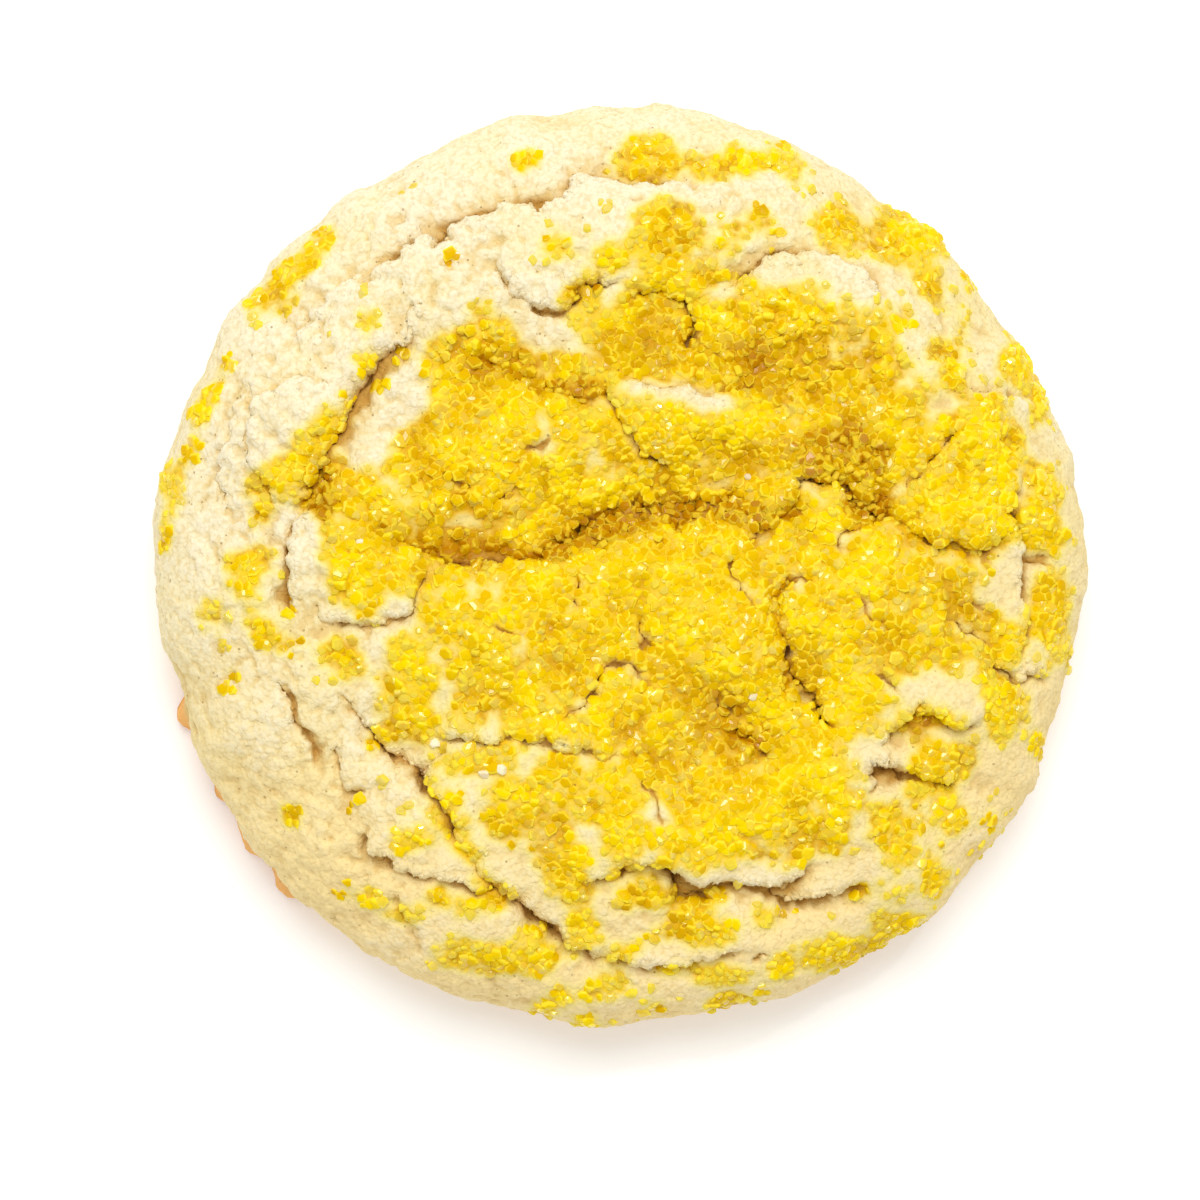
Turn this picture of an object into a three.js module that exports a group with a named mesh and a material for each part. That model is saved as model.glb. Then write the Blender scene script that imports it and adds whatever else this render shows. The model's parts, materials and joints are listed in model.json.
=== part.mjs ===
// A thick, soft sugar cookie with a crinkled top, lying on its flat underside.
// It is one piece of baked dough. Millimetres, +Z up, with the origin at the middle of the underside.
import * as THREE from 'three';

// Driving dimensions.
const RADIUS = 43.5; // mean radius at the belly, the widest level of the side
const CROWN = 19.2; // underside to the top of the dough, before it creased
const BELLY = 6.2; // level of the belly
const SQUARENESS = 2.75; // 2 gives a round shoulder, and more gives a flatter top
const TUCK = 1.6; // how far the side draws in between the belly and the foot
const FOOT = 1.5; // corner radius where the side meets the underside
const TOP_STEP = 1.3; // mesh spacing on the crinkled top
const SIDE_STEP = 2.1; // mesh spacing on the side
const UNDER_STEP = 7; // mesh spacing on the flat underside
const EDGE = [-1, 1.4]; // where a raised edge starts to climb out of its groove, and where it tops out
const FADE = 0.18; // share of a crease's length over which each end fades
const TURN = 2 * Math.PI;
const QUARTER = Math.PI / 2;

const degrees = THREE.MathUtils.degToRad;
const smooth = THREE.MathUtils.smoothstep;
const bell = (t) => Math.exp(-t * t);

// The outline is a circle with slow lobes: how many round the rim, how deep, and where one starts.
const LOBES = [
  { count: 2, rise: 0.3, at: 0 },
  { count: 5, rise: 0.2, at: 20 },
  { count: 11, rise: 0.07, at: 8 },
];
// One side baked a little flatter.
const FLAT = { depth: 0.8, middle: 42, half: 27 };
// The browned foot spreads past the belly over one stretch of the rim.
const SPREAD = { reach: 2, middle: 213, half: 24 };

// Broad swells and hollows: middle, half sizes, turn in degrees, and rise.
const SWELLS = [
  { at: [1, 6], size: [19, 5.5], turn: 10, rise: -2.0 }, // hollow across the middle
  { at: [12, 19], size: [8, 3], turn: -20, rise: -1.1 },
  { at: [-12, 19], size: [7, 3], turn: -25, rise: -1.0 },
  { at: [11, -14.5], size: [9, 3.5], turn: -30, rise: -1.2 },
  { at: [17.5, -11], size: [3, 4.5], turn: 30, rise: -0.8 },
  { at: [-20, -17], size: [5, 2.2], turn: -30, rise: -1.1 },
  { at: [28, -17.5], size: [4.5, 2.6], turn: -10, rise: -1.4 },
  { at: [24.5, 5], size: [3.5, 2], turn: -20, rise: -1.4 },
  { at: [-25, 0], size: [6, 4.5], turn: -5, rise: 1.0 }, // plates that stand up
  { at: [33, 12], size: [4.5, 4], turn: 20, rise: 0.8 },
  { at: [32.5, 5], size: [4.5, 3], turn: 0, rise: 0.7 },
  { at: [6, -24], size: [18, 5], turn: 0, rise: 0.9 },
  { at: [0, -5], size: [17, 5], turn: 5, rise: 0.6 },
  { at: [6, 12.5], size: [9, 2.6], turn: -8, rise: 0.7 },
  { at: [30, -12.5], size: [4, 2], turn: -35, rise: 0.9 },
];

// The raised collar inside the rim: its radius, width, rise, and the stretch that it covers.
const COLLAR = { radius: 31, width: 5, rise: 1.1, middle: 95, half: 120 };

// Slow waves where the dough wandered as it spread: how fast each turns per millimetre, and its rise.
const WAVES = [
  { turn: [0.3, 0.26], start: 1.3, rise: 0.3 },
  { turn: [0.21, -0.44], start: 2, rise: 0.25 },
  { turn: [0.62, 0.5], start: 0, rise: 0.15 },
];

// Creases, each a curve through a few points. The dough on the left of its direction stands higher by
// lift, which dies away over reach; the groove beside it has a depth and a width.
const crease = (points, depth, width, lift = 0, reach = 5) => {
  const curve = new THREE.SplineCurve(points.map(([x, y]) => new THREE.Vector2(x, y)));
  const line = curve.getSpacedPoints(Math.max(6, Math.round(curve.getLength())));
  return { line, depth, width, lift, reach };
};
const CREASES = [
  // between the rim and the collar
  crease([[7.5, 34.5], [5, 37], [-4.5, 35], [-15, 32.9], [-20, 29.4], [-24, 27]], 1.5, 1.95, 0.9, 4),
  crease([[24, 28.3], [16, 29.8], [10.5, 27]], 1.7, 1.65, 0.6, 4),
  crease([[41, 15], [35, 16.8], [30.6, 14.6], [29.4, 10], [27, 8.2]], 1.9, 1.85, 0.8, 4),
  crease([[38, -9.8], [39, -5], [37.6, 2], [38, 10.5]], 1.8, 1.75, 0.5, 3),
  crease([[35.5, -9.4], [41, -10.9]], 1.3, 1.5, 0.4, 3),
  // between the collar and the plates inside it
  crease([[-29.5, 5.6], [-26.6, 11], [-24.8, 16.4], [-18, 23.5]], 2.6, 1.85, 0.9, 4),
  crease([[-9.4, 25.6], [-8.6, 23.3], [-4.6, 23.6], [-1.5, 27.2], [0.6, 26]], 1.5, 1.55, 1.1, 5),
  crease([[0.6, 25.4], [6, 25.3], [7.8, 27.2]], 1.7, 1.55, 1, 4),
  crease([[-28.5, 5], [-31.4, 2], [-31.2, -2], [-29.6, -4.8]], 2, 1.75, 0.9, 4),
  // between the plates
  crease([[-29, -5], [-21.4, -5.2], [-20, -3], [-16.5, 0.6]], 1.4, 1.5, 1, 4),
  crease([[14.6, 4.9], [6, 5.3], [-1, 3.8], [-7, 0.8], [-17, 0.6]], 2.6, 2.55, 0.8, 5),
  crease([[16.6, 6.2], [20.4, 8], [23.6, 4.8], [29.8, 2], [37.4, 1]], 1.9, 1.55, 0.7, 4),
  crease([[13.5, 15.8], [5, 16.2], [-1, 16.2]], 1, 2.15, 0.8, 5),
  crease([[-6, 17], [-1.5, 15.6], [2.6, 10]], 1.6, 1.5),
  crease([[17.5, -1], [14.8, -4], [16.8, -10.2], [20.4, -16]], 2, 1.55),
  crease([[-1, -9.7], [-3.6, -12.4], [-6.2, -15.6]], 1.5, 1.5),
  crease([[-18, -14.6], [-14, -16.5], [-5, -17.6]], 1.4, 1.55, 0.9, 4),
  crease([[10.4, -15], [14.2, -18.4]], 1.9, 1.55),
  crease([[26, -13.8], [29.4, -15.7], [33, -15.4]], 2, 1.55, 1.2, 3),
  crease([[23.6, -19.8], [28, -20.5], [34, -20.2]], 1.8, 1.5, 0.7, 3),
  crease([[22.4, -22.2], [24.8, -17.6], [26.4, -13.2]], 1.1, 1.5, 0.9, 4),
  // the lower folds
  crease([[-4.5, -31], [1, -29.1], [8, -30.6], [17, -32], [23.2, -31]], 2.4, 1.65, 1.4, 5),
  crease([[-27.6, -11], [-22.3, -18.2], [-16.8, -24.2], [-10.3, -31.2], [0.5, -38]], 1.9, 1.55, 1, 5),
  crease([[-25.5, -26], [-20, -29.2], [-11, -31]], 1.5, 1.5, 0.9, 4),
  crease([[-35.6, -7], [-31.4, -15], [-29.6, -19]], 1.4, 1.5),
  crease([[-27.4, -17.4], [-25.2, -21.8]], 1.2, 1.55),
];

// 1 at the middle of a stretch of the rim, falling to 0 at its ends.
function stretch(angle, { middle, half }) {
  const away = Math.abs(THREE.MathUtils.euclideanModulo(angle - degrees(middle) + Math.PI, TURN) - Math.PI);
  return 1 - smooth(away, degrees(half) * 0.4, degrees(half));
}

const outline = (angle) =>
  LOBES.reduce((r, { count, rise, at }) => r + rise * Math.cos(count * (angle - degrees(at))), RADIUS) -
  FLAT.depth * stretch(angle, FLAT);

// The nearest point of a crease: its distance, positive on the left, and how far along it lies, 0 to 1.
function nearest({ line }, x, y) {
  let best = { distance: Infinity, along: 0 };
  for (let i = 0; i + 1 < line.length; i++) {
    const a = line[i];
    const run = line[i + 1].clone().sub(a);
    const out = new THREE.Vector2(x, y).sub(a);
    const share = THREE.MathUtils.clamp(out.dot(run) / run.lengthSq(), 0, 1);
    const gap = out.distanceTo(run.clone().multiplyScalar(share));
    if (gap < Math.abs(best.distance)) {
      best = { distance: Math.sign(run.cross(out)) * gap, along: (i + share) / (line.length - 1) };
    }
  }
  return best;
}

// What one crease does to the height at a plan position.
function creased(fold, x, y) {
  const { distance, along } = nearest(fold, x, y);
  const ends = smooth(along, 0, FADE) * (1 - smooth(along, 1 - FADE, 1));
  const left = smooth(distance, ...EDGE) * Math.exp(-Math.max(distance, 0) / fold.reach);
  return ends * (fold.lift * left - fold.depth * bell(distance / fold.width));
}

function swollen({ at, size, turn, rise }, x, y) {
  const place = new THREE.Vector2(x - at[0], y - at[1]).rotateAround(new THREE.Vector2(), -degrees(turn));
  return rise * bell(Math.hypot(place.x / size[0], place.y / size[1]));
}

// How far the surface stands out of the smooth dome at a plan position.
function relief(x, y) {
  const collar = COLLAR.rise * bell((Math.hypot(x, y) - COLLAR.radius) / COLLAR.width);
  let rise = collar * stretch(Math.atan2(y, x), COLLAR);
  for (const wave of WAVES) rise += wave.rise * Math.sin(wave.turn[0] * x + wave.turn[1] * y + wave.start);
  for (const swell of SWELLS) rise += swollen(swell, x, y);
  for (const fold of CREASES) rise += creased(fold, x, y);
  return rise;
}

// The section from the crown to the middle of the underside, as points (radius, level).
function section() {
  const points = [];
  const trace = (count, at) => {
    for (let i = 0; i <= count; i++) points.push(new THREE.Vector2(...at(i / count)));
  };
  const dome = (share, size) => size * share ** (2 / SQUARENESS);
  trace(120, (t) => [dome(Math.sin(t * QUARTER), RADIUS), BELLY + dome(Math.cos(t * QUARTER), CROWN - BELLY)]);
  trace(20, (t) => [RADIUS - TUCK * t * t, THREE.MathUtils.lerp(BELLY, FOOT, t)]);
  const corner = RADIUS - TUCK - FOOT;
  trace(8, (t) => [corner + FOOT * Math.cos(t * QUARTER), FOOT - FOOT * Math.sin(t * QUARTER)]);
  trace(1, (t) => [corner * (1 - t), 0]);
  return points;
}

// Stations along the section, closer together where the surface is crinkled.
function stations() {
  const points = section();
  const found = [];
  let due = TOP_STEP;
  for (let i = 0; i + 1 < points.length; i++) {
    const run = points[i + 1].clone().sub(points[i]);
    const length = run.length();
    const out = new THREE.Vector2(-run.y, run.x).normalize();
    const under = points[i].y === 0;
    while (due < length) {
      const place = points[i].clone().lerp(points[i + 1], due / length);
      const side = place.y > BELLY + 1 ? TOP_STEP : SIDE_STEP;
      const step = under ? UNDER_STEP : side;
      found.push({ radius: place.x, level: place.y, out, step, under });
      due += step;
    }
    due -= length;
  }
  return found;
}

// A plan position on the rings, with the outline's lobes and the foot's spread.
function place({ radius, level, out, under }, angle) {
  const low = 1 - smooth(level, FOOT, BELLY * 0.8);
  const spread = SPREAD.reach * stretch(angle, SPREAD) * low;
  const share = outline(angle) / RADIUS;
  const reach = radius * share + (under ? spread * (radius / RADIUS) : spread);
  const at = new THREE.Vector3(reach * Math.cos(angle), reach * Math.sin(angle), level);
  if (under) return at;
  const rise = relief(at.x, at.y) * smooth(level, FOOT, BELLY * 1.6);
  at.x += out.x * rise * Math.cos(angle);
  at.y += out.x * rise * Math.sin(angle);
  at.z += out.y * rise;
  return at;
}

// The cookie: rings of points along the section, zipped together from the crown to the underside.
function cookieGeometry() {
  const points = [new THREE.Vector3(0, 0, CROWN + relief(0, 0))];
  const rings = stations().map((station, row) => {
    const count = Math.max(6, Math.round((TURN * station.radius) / (station.step * 1.1)));
    const ring = { first: points.length, count };
    for (let i = 0; i < count; i++) points.push(place(station, ((i + (row % 2) / 2) / count) * TURN));
    ring.lead = (row % 2) / 2 / count;
    return ring;
  });
  const faces = [];
  const top = rings[0];
  for (let i = 0; i < top.count; i++) faces.push(0, top.first + i, top.first + ((i + 1) % top.count));
  for (let row = 0; row + 1 < rings.length; row++) {
    const [a, b] = [rings[row], rings[row + 1]];
    let [i, j] = [0, 0];
    while (i < a.count || j < b.count) {
      const from = a.first + (i % a.count);
      const to = b.first + (j % b.count);
      const inner = (i + 1) / a.count + a.lead;
      const outer = (j + 1) / b.count + b.lead;
      if (j >= b.count || (i < a.count && inner < outer)) faces.push(from, to, a.first + (++i % a.count));
      else faces.push(from, to, b.first + (++j % b.count));
    }
  }
  const last = rings.at(-1);
  const middle = points.push(new THREE.Vector3(0, 0, 0)) - 1;
  for (let i = 0; i < last.count; i++) faces.push(last.first + i, middle, last.first + ((i + 1) % last.count));
  const geometry = new THREE.BufferGeometry().setFromPoints(points).setIndex(faces);
  geometry.computeVertexNormals();
  return geometry;
}

const dough = new THREE.MeshStandardMaterial({ color: 0xf1dfae, roughness: 0.85, metalness: 0 });
const cookie = new THREE.Mesh(cookieGeometry(), dough);
cookie.name = 'cookie';

const part = new THREE.Group();
part.add(cookie);
export default part;
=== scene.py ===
"""A thick, soft sugar cookie with a cracked and folded top, strewn with coarse yellow sugar.

It lies on its flat underside with the crinkled face up. Plan positions in the tables are millimetres from
the middle of the cookie, with x to the right and y away from the lower folds.
"""

import json
import math
from itertools import product

import bmesh
import bpy
import numpy as np
from mathutils import Matrix, Vector
from mathutils.kdtree import KDTree

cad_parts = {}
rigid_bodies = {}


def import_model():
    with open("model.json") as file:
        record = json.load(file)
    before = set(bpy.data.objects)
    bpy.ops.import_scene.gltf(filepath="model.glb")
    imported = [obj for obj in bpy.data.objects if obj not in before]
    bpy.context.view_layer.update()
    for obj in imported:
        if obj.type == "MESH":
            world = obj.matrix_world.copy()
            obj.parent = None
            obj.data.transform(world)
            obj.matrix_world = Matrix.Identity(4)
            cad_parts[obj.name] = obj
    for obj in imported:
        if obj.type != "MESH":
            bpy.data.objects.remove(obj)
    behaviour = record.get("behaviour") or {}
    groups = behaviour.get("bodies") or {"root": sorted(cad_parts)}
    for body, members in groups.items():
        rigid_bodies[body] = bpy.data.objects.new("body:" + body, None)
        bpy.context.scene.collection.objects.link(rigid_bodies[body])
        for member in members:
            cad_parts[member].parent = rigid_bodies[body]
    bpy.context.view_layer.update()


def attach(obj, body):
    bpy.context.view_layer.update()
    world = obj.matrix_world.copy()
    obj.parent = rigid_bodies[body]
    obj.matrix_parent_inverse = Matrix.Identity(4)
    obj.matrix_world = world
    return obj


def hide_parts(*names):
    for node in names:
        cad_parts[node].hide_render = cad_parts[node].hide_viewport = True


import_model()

bl_info = {
    "name": "Sugar Cookie",
    "version": (1, 0, 0),
    "blender": (4, 5, 0),
    "location": "3D View > Sidebar > Cookie",
    "description": "Bakes a cracked sugar cookie and strews it with coarse sugar",
    "category": "Add Mesh",
}

MM = 0.001
TURN = 2 * math.pi

# The dome, as in the solid: radius of the belly, level of the crown and of the belly, and the foot.
RADIUS = 43.5
CROWN = 19.2
BELLY = 6.2
SQUARENESS = 2.75
TUCK = 1.6
FOOT = 1.5

# Mesh spacing on the crinkled top, the side and the flat underside.
TOP_STEP = 0.28
SIDE_STEP = 0.5
UNDER_STEP = 1.8

# The folds and the sugar are drawn a little larger than they lie, about a point off the middle.
DRAWN = 1.02
DRAWN_OFF = (0.6, 0.4)

# Slow lobes of the outline: how many round the rim, how deep, and where one starts, in degrees. And the
# stretch that is flatter.
LOBES = ((2, 0.3, 0), (5, 0.2, 20), (11, 0.07, 8))
FLAT = {"depth": 0.8, "middle": 42, "half": 27}

# Small bumps round the rim: how many to a radian, and how high.
RIM_BUMPS = {"count": 12, "rise": 0.4}

# Where dough ran out over the tray at the foot: middle and half width in degrees, and how far it ran. And
# the lumps in it: how many to a radian, and their share of it.
FOOT_LUMPS = {"count": 14, "rise": 0.25}
SPREADS = ((199, 3.2, 2.1), (204.5, 2, 1.8), (209.5, 3.4, 2.1), (216.5, 4.4, 2.2), (224, 5, 2.2))

# Stretches of the rim: where the side is yellower, partly its baked colour and partly painted shade on the
# side turned from the light, where the top is crumbliest, and where it is painted whiter as painted light.
GOLDEN = {"middle": 282, "half": 110}
CRUMBLY = {"middle": 155, "half": 125}
PAINTED_LIGHT = {"middle": 128, "half": 85}

# The raised collar inside the rim.
COLLAR = {"radius": 31, "width": 5, "rise": 1.1, "middle": 95, "half": 120}

# Broad swells and hollows: x and y of the middle, half sizes, turn in degrees, and rise.
SWELLS = (
    (1, 6, 19, 5.5, 10, -2), (9.6, 19.6, 7, 3, -10, -1.2), (-12, 19, 7, 3, -25, -1),
    (11, -14.5, 9, 3.5, -30, -1.2), (17.5, -11, 3, 4.5, 30, -0.8), (-20, -17, 5, 2.2, -30, -1.1),
    (26.4, -16, 3, 2.4, -10, -1), (30.6, -17.6, 2.4, 1.8, 0, 0.5), (5, 22.6, 3.6, 3, 0, -1),
    (11, 10, 3.6, 1.6, -10, -0.8), (-19.6, 1.6, 6, 1.8, 0, -0.8), (12, 4.6, 7, 1.6, 0, -0.6),
    (24, 6, 3, 1.8, -20, -1.6), (21, 11, 3.4, 2.6, 0, -0.7), (-21, -18, 3, 1.8, -40, -1.2),
    (-30, 4, 2, 2.4, 0, -1.2), (-25.6, -25, 1.6, 4, 20, -0.7), (-8.6, -32.6, 1.8, 4, 50, -0.8),
    (30.6, 15.6, 2.4, 1.6, 0, -0.9), (17, -32.8, 6, 1.8, 0, -0.7), (-25, 0, 6, 4.5, -5, 1),
    (33, 12, 4.5, 4, 20, 0.8), (32.5, 5, 4.5, 3, 0, 0.7), (6, -24, 18, 5, 0, 0.9), (0, -5, 17, 5, 5, 0.6),
    (6, 12.5, 9, 2.6, -8, 0.7), (30, -12.5, 4, 2, -35, 0.9), (29, 33.2, 2.6, 2, -40, 1.3),
)

# Slow waves where the dough wandered as it spread: turn per millimetre along x and y, start, and rise.
WAVES = ((0.3, 0.26, 1.3, 0.3), (0.21, -0.44, 2, 0.25), (0.62, 0.5, 0, 0.15))

# How the lines of the folds wander: wavelength and reach of each share.
WARPS = ((1.6, 0.6), (0.75, 0.42), (4, 0.5))

# Folds: points, depth and width of the groove, lift of the dough on the left of the line, how far back the
# lift reaches, and how far its lip leans out over the groove.
FOLDS = (
    # between the rim and the collar
    (((8, 35), (5, 36.6), (0, 36.7), (-4, 36.1), (-5.6, 34.7), (-9, 34), (-15, 32.5), (-19, 30.2),
      (-26, 25.5)), 1.5, 1.5, 0.9, 4, 0.4),
    (((26, 25.6), (22, 28.3), (18, 29.4), (14.6, 29), (12, 27.6), (9, 26)), 1.6, 1.1, 0.9, 4, 0.5),
    (((41, 15.8), (37, 16.5), (33.8, 16.6), (32, 18.6), (30, 21)), 0.9, 0.9, 0.5, 3, 0.3),
    (((31.4, 13.4), (30.6, 11.6), (29, 9.4), (27, 7.2)), 1.6, 0.9, 0.5, 3, 0.4),
    (((38.6, -9.8), (39.2, -6), (38.7, -3), (38.5, 0), (37.8, 2), (37.6, 4), (37.4, 9.5)),
     1.7, 0.9, 0.4, 3, 0.4),
    (((35.5, -9.2), (37, -9.8), (41, -10.6)), 1.5, 0.8, 0.4, 3, 0.4),
    # soft ledges of the crumbly band
    (((-31.3, 17.7), (-34.1, 14.8), (-35.2, 11.4), (-34.4, 8.5), (-31.9, 4.6)), 0.5, 1.3, 0.6, 4, 0.15),
    (((-34.4, 17.6), (-36.6, 13.6), (-37.8, 10), (-37.6, 5)), 0.5, 1.2, 0.4, 3, 0.2),
    (((-27.4, 16.6), (-29.6, 17.4), (-31.6, 16.9), (-33, 15.4)), 0.5, 0.9, 0.5, 3, 0.3),
    (((-24.5, 27.5), (-28.5, 24), (-31.5, 21)), 0.5, 1.2, 0.5, 3, 0.3),
    (((-19, 24), (-22.5, 21.5)), 0.6, 0.8, 0.5, 3, 0.3),
    # between the collar and the plates inside it
    (((-30.6, 4.6), (-29.3, 7.4), (-27.8, 10.4), (-26.8, 14), (-24.9, 17.4), (-22.3, 20.2), (-18.8, 23)),
     2.4, 2.2, 0.7, 4, 0.4),
    (((-13, 29), (-11, 27), (-9.6, 25), (-7.6, 24.5), (-5.6, 24.9), (-4.2, 26.3), (-1.6, 27.3),
      (0.6, 26.3)), 1.7, 0.8, 0.6, 4, 0.4),
    (((0.4, 26.2), (4.6, 26.1), (6.8, 25.4), (7.2, 22.4), (5.4, 20)), 2, 1.5, 0.8, 4, 0.4),
    (((-29.4, 5.2), (-31.2, 3.6), (-31.8, 1), (-31.8, -2), (-31, -4.6)), 2, 1.2, 0.6, 4, 0.4),
    # between the plates
    (((-29, -5), (-24, -5.2), (-21, -4.8), (-20, -2.8), (-18.3, 0)), 1.2, 0.7, 0.8, 4, 0.5),
    (((14.6, 6), (9, 6), (5, 6), (1.6, 4.8), (-3, 3.4), (-7, 0.6), (-13, -0.2), (-18, 0.2), (-22, 3.6)),
     2.7, 1.9, 0.9, 5, 0.5),
    (((16.4, 7.6), (18.5, 8.6), (20.6, 9.1), (22.4, 7.3), (23.6, 5.8), (27, 4.6), (32, 2.4), (37.4, 2.1)),
     2.3, 1.3, 0.8, 4, 0.5),
    (((13.5, 16.2), (8, 16), (3, 17), (-1, 17.8)), 0.9, 1.6, 0.8, 5, 0.4),
    (((-15, 20), (-10, 18.4), (-5, 16.4), (-2, 15.8)), 0.7, 1.3, 0.2, 4, 0.2),
    (((-1.8, 17.8), (-1.2, 15.8), (-0.3, 13.8), (1, 12), (2.6, 10.4), (3.8, 9)), 1.6, 0.7, 0.5, 3, 0.3),
    (((12, 2.4), (13.8, 4.2), (15.8, 5.8), (17, 7), (16.4, 8.8)), 1.5, 0.7, 0.3, 3, 0.3),
    (((17.5, -1), (15, -2), (14.9, -5), (15.5, -8.5), (18, -12), (20.4, -16.6)), 2.2, 1, 0.4, 4, 0.4),
    (((-18, -14.6), (-16.8, -15.9), (-14, -16.4), (-10.2, -15.8), (-5, -17.2), (0, -18.2)),
     1.3, 0.8, 0.5, 3, 0.4),
    (((10.4, -14.6), (12, -16.2), (14.2, -18.2)), 2, 0.7, 0.2, 3, 0.3),
    (((24.8, -17.6), (25.9, -15), (27.4, -13.4), (29.4, -13.8), (32, -14.9), (33.8, -15.4)),
     1.8, 1, 0.9, 3, 0.5),
    (((23, -22), (24.2, -19.4), (26, -19.6), (29, -20.6), (33, -20.8)), 1.8, 1.1, 0.7, 3, 0.4),
    # the lower folds
    (((-4.5, -30.6), (-2, -29.3), (1, -28.5), (4, -28.4), (7, -29.6), (14, -30.3), (18, -28.4)),
     2.2, 1.3, 0.9, 5, 0.5),
    (((13.6, -30.6), (15, -31.5), (18.2, -31.6), (23.2, -30.6)), 1.9, 1.3, 0.7, 4, 0.4),
    (((4, -27.8), (4.6, -29.4), (6.2, -31.2), (9, -31.6)), 1.8, 1.1, 0, 3, 0),
    (((-27.8, -11), (-25.6, -13.4), (-23.6, -16.2), (-21.4, -18), (-19.2, -19.6), (-17, -23),
      (-14.6, -26.6), (-12.4, -29.5), (-9.1, -32.6), (-6.6, -35.2), (-2, -36.8), (3.5, -37.8), (8.3, -37),
      (14, -37)), 2.2, 1.4, 0.8, 5, 0.5),
    (((-19.6, -21), (-18.6, -19), (-17, -17.4)), 1.2, 0.9, 0.2, 3, 0.2),
    (((-25.2, -25.6), (-23.6, -28), (-20, -29), (-16, -30.2), (-13.2, -30.8), (-11, -29.4)),
     1.4, 0.8, 0.7, 4, 0.4),
    (((-29.2, -19.8), (-30.4, -16.4), (-31.4, -13.6), (-32.6, -10.6)), 1.4, 0.8, 0.6, 3, 0.3),
    (((-27.4, -17.2), (-26.4, -20.1), (-24.8, -22)), 1.2, 0.9, 0.3, 3, 0.3),
    (((-22, -31), (-20, -34), (-19, -37)), 0.8, 1.2, 0.3, 3, 0),
)

# Fine cracks: points, depth and width.
CRACKS = (
    (((10.5, 1), (10.3, -1), (11.5, -3), (12, -4.6)), 1, 0.32),
    (((15, -2), (18, -1.2)), 0.8, 0.3),
    (((24, -10.5), (25.5, -11), (26.5, -12)), 1, 0.34),
    (((30.5, -5), (33, -6), (35.5, -8)), 1, 0.34),
    (((1.7, -4.6), (1.7, -6), (2.1, -7.8), (2.6, -9)), 1.1, 0.32),
    (((-4.5, -1.3), (-4.3, -3), (-3.5, -4)), 1.1, 0.34),
    (((-6.4, -15.4), (-4.1, -12.8), (-2.6, -11.4), (-2.5, -10.1), (-1.2, -9.6), (0.5, -9.8), (2.3, -11.7),
      (4, -11.6)), 1.2, 0.36),
    (((-10, 10.5), (-8.5, 11), (-6.5, 12.5)), 0.7, 0.3),
    (((-10, 8), (-12, 6)), 0.8, 0.3),
    (((-17, 9), (-14.5, 7.5)), 0.7, 0.3),
    (((38, 0.5), (42.4, 0.6)), 0.9, 0.34),
    (((12, -37.5), (14.4, -36.9)), 0.9, 0.34),
    (((33, -3), (36.5, -4.5)), 0.7, 0.3),
    (((7.5, -11.5), (9, -13.4), (12.6, -14)), 0.8, 0.34),
    (((-12.6, -4.6), (-11, -6.2), (-8.4, -6.6)), 0.6, 0.3),
    (((21.6, -3), (24.4, -5.6)), 0.7, 0.3),
    (((1, -20), (3.2, -22.6), (3.4, -25)), 0.7, 0.3),
    # the floors of the folds, cut deeper and given painted shade
    (((-30.4, 3.4), (-29, 7), (-27.4, 10.6), (-26, 14), (-24.6, 17), (-22.4, 19.3), (-20.4, 21),
      (-18, 23.6)), 0.6, 1.3),
    (((-9, 0.4), (-4, 2.4), (-0.6, 3.8), (1.6, 4.5), (5, 4.8), (9, 5), (13.4, 4.4)), 1.2, 1),
    (((15.6, 7.6), (18, 8.3), (20.4, 8.4), (21.8, 7), (23.6, 5), (26, 3.9)), 0.8, 0.7),
    (((23.2, -21.2), (24.2, -20), (26, -20.1), (28, -20.8)), 0.9, 0.9),
    (((20, 0.6), (20.8, 2.6), (22.8, 3.8)), 0.9, 0.35),
    (((27.2, 6.6), (28.4, 9), (30.6, 11.4)), 1, 0.5),
    (((8, -31.4), (12, -31), (15, -32.2), (20, -32), (23, -31)), 0.5, 0.8),
    (((-24.2, -15.6), (-21.8, -18), (-19.8, -19.8), (-18, -22.2), (-16.2, -24.6)), 0.6, 0.8),
    (((-12.6, -29.2), (-10.4, -31.6), (-7.8, -34.2), (-5.2, -36), (-1.6, -36.9)), 0.6, 0.9),
    (((14.9, -3.6), (15.4, -7.6), (17.2, -11.2), (19.4, -14.6), (21, -17.6)), 1, 0.5),
    (((6.6, 24.8), (7.4, 22), (6, 20.4)), 0.8, 0.5),
    (((3.6, -28.6), (5.4, -29.9), (9, -31.4)), 1, 0.7),
)


def ovals(groups):
    """Ovals listed by their strength or turn, each as the x and y of its middle and its two half sizes."""
    return [((x, y), (long, wide), value) for value, rows in groups.items() for x, y, long, wide in rows]


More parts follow.
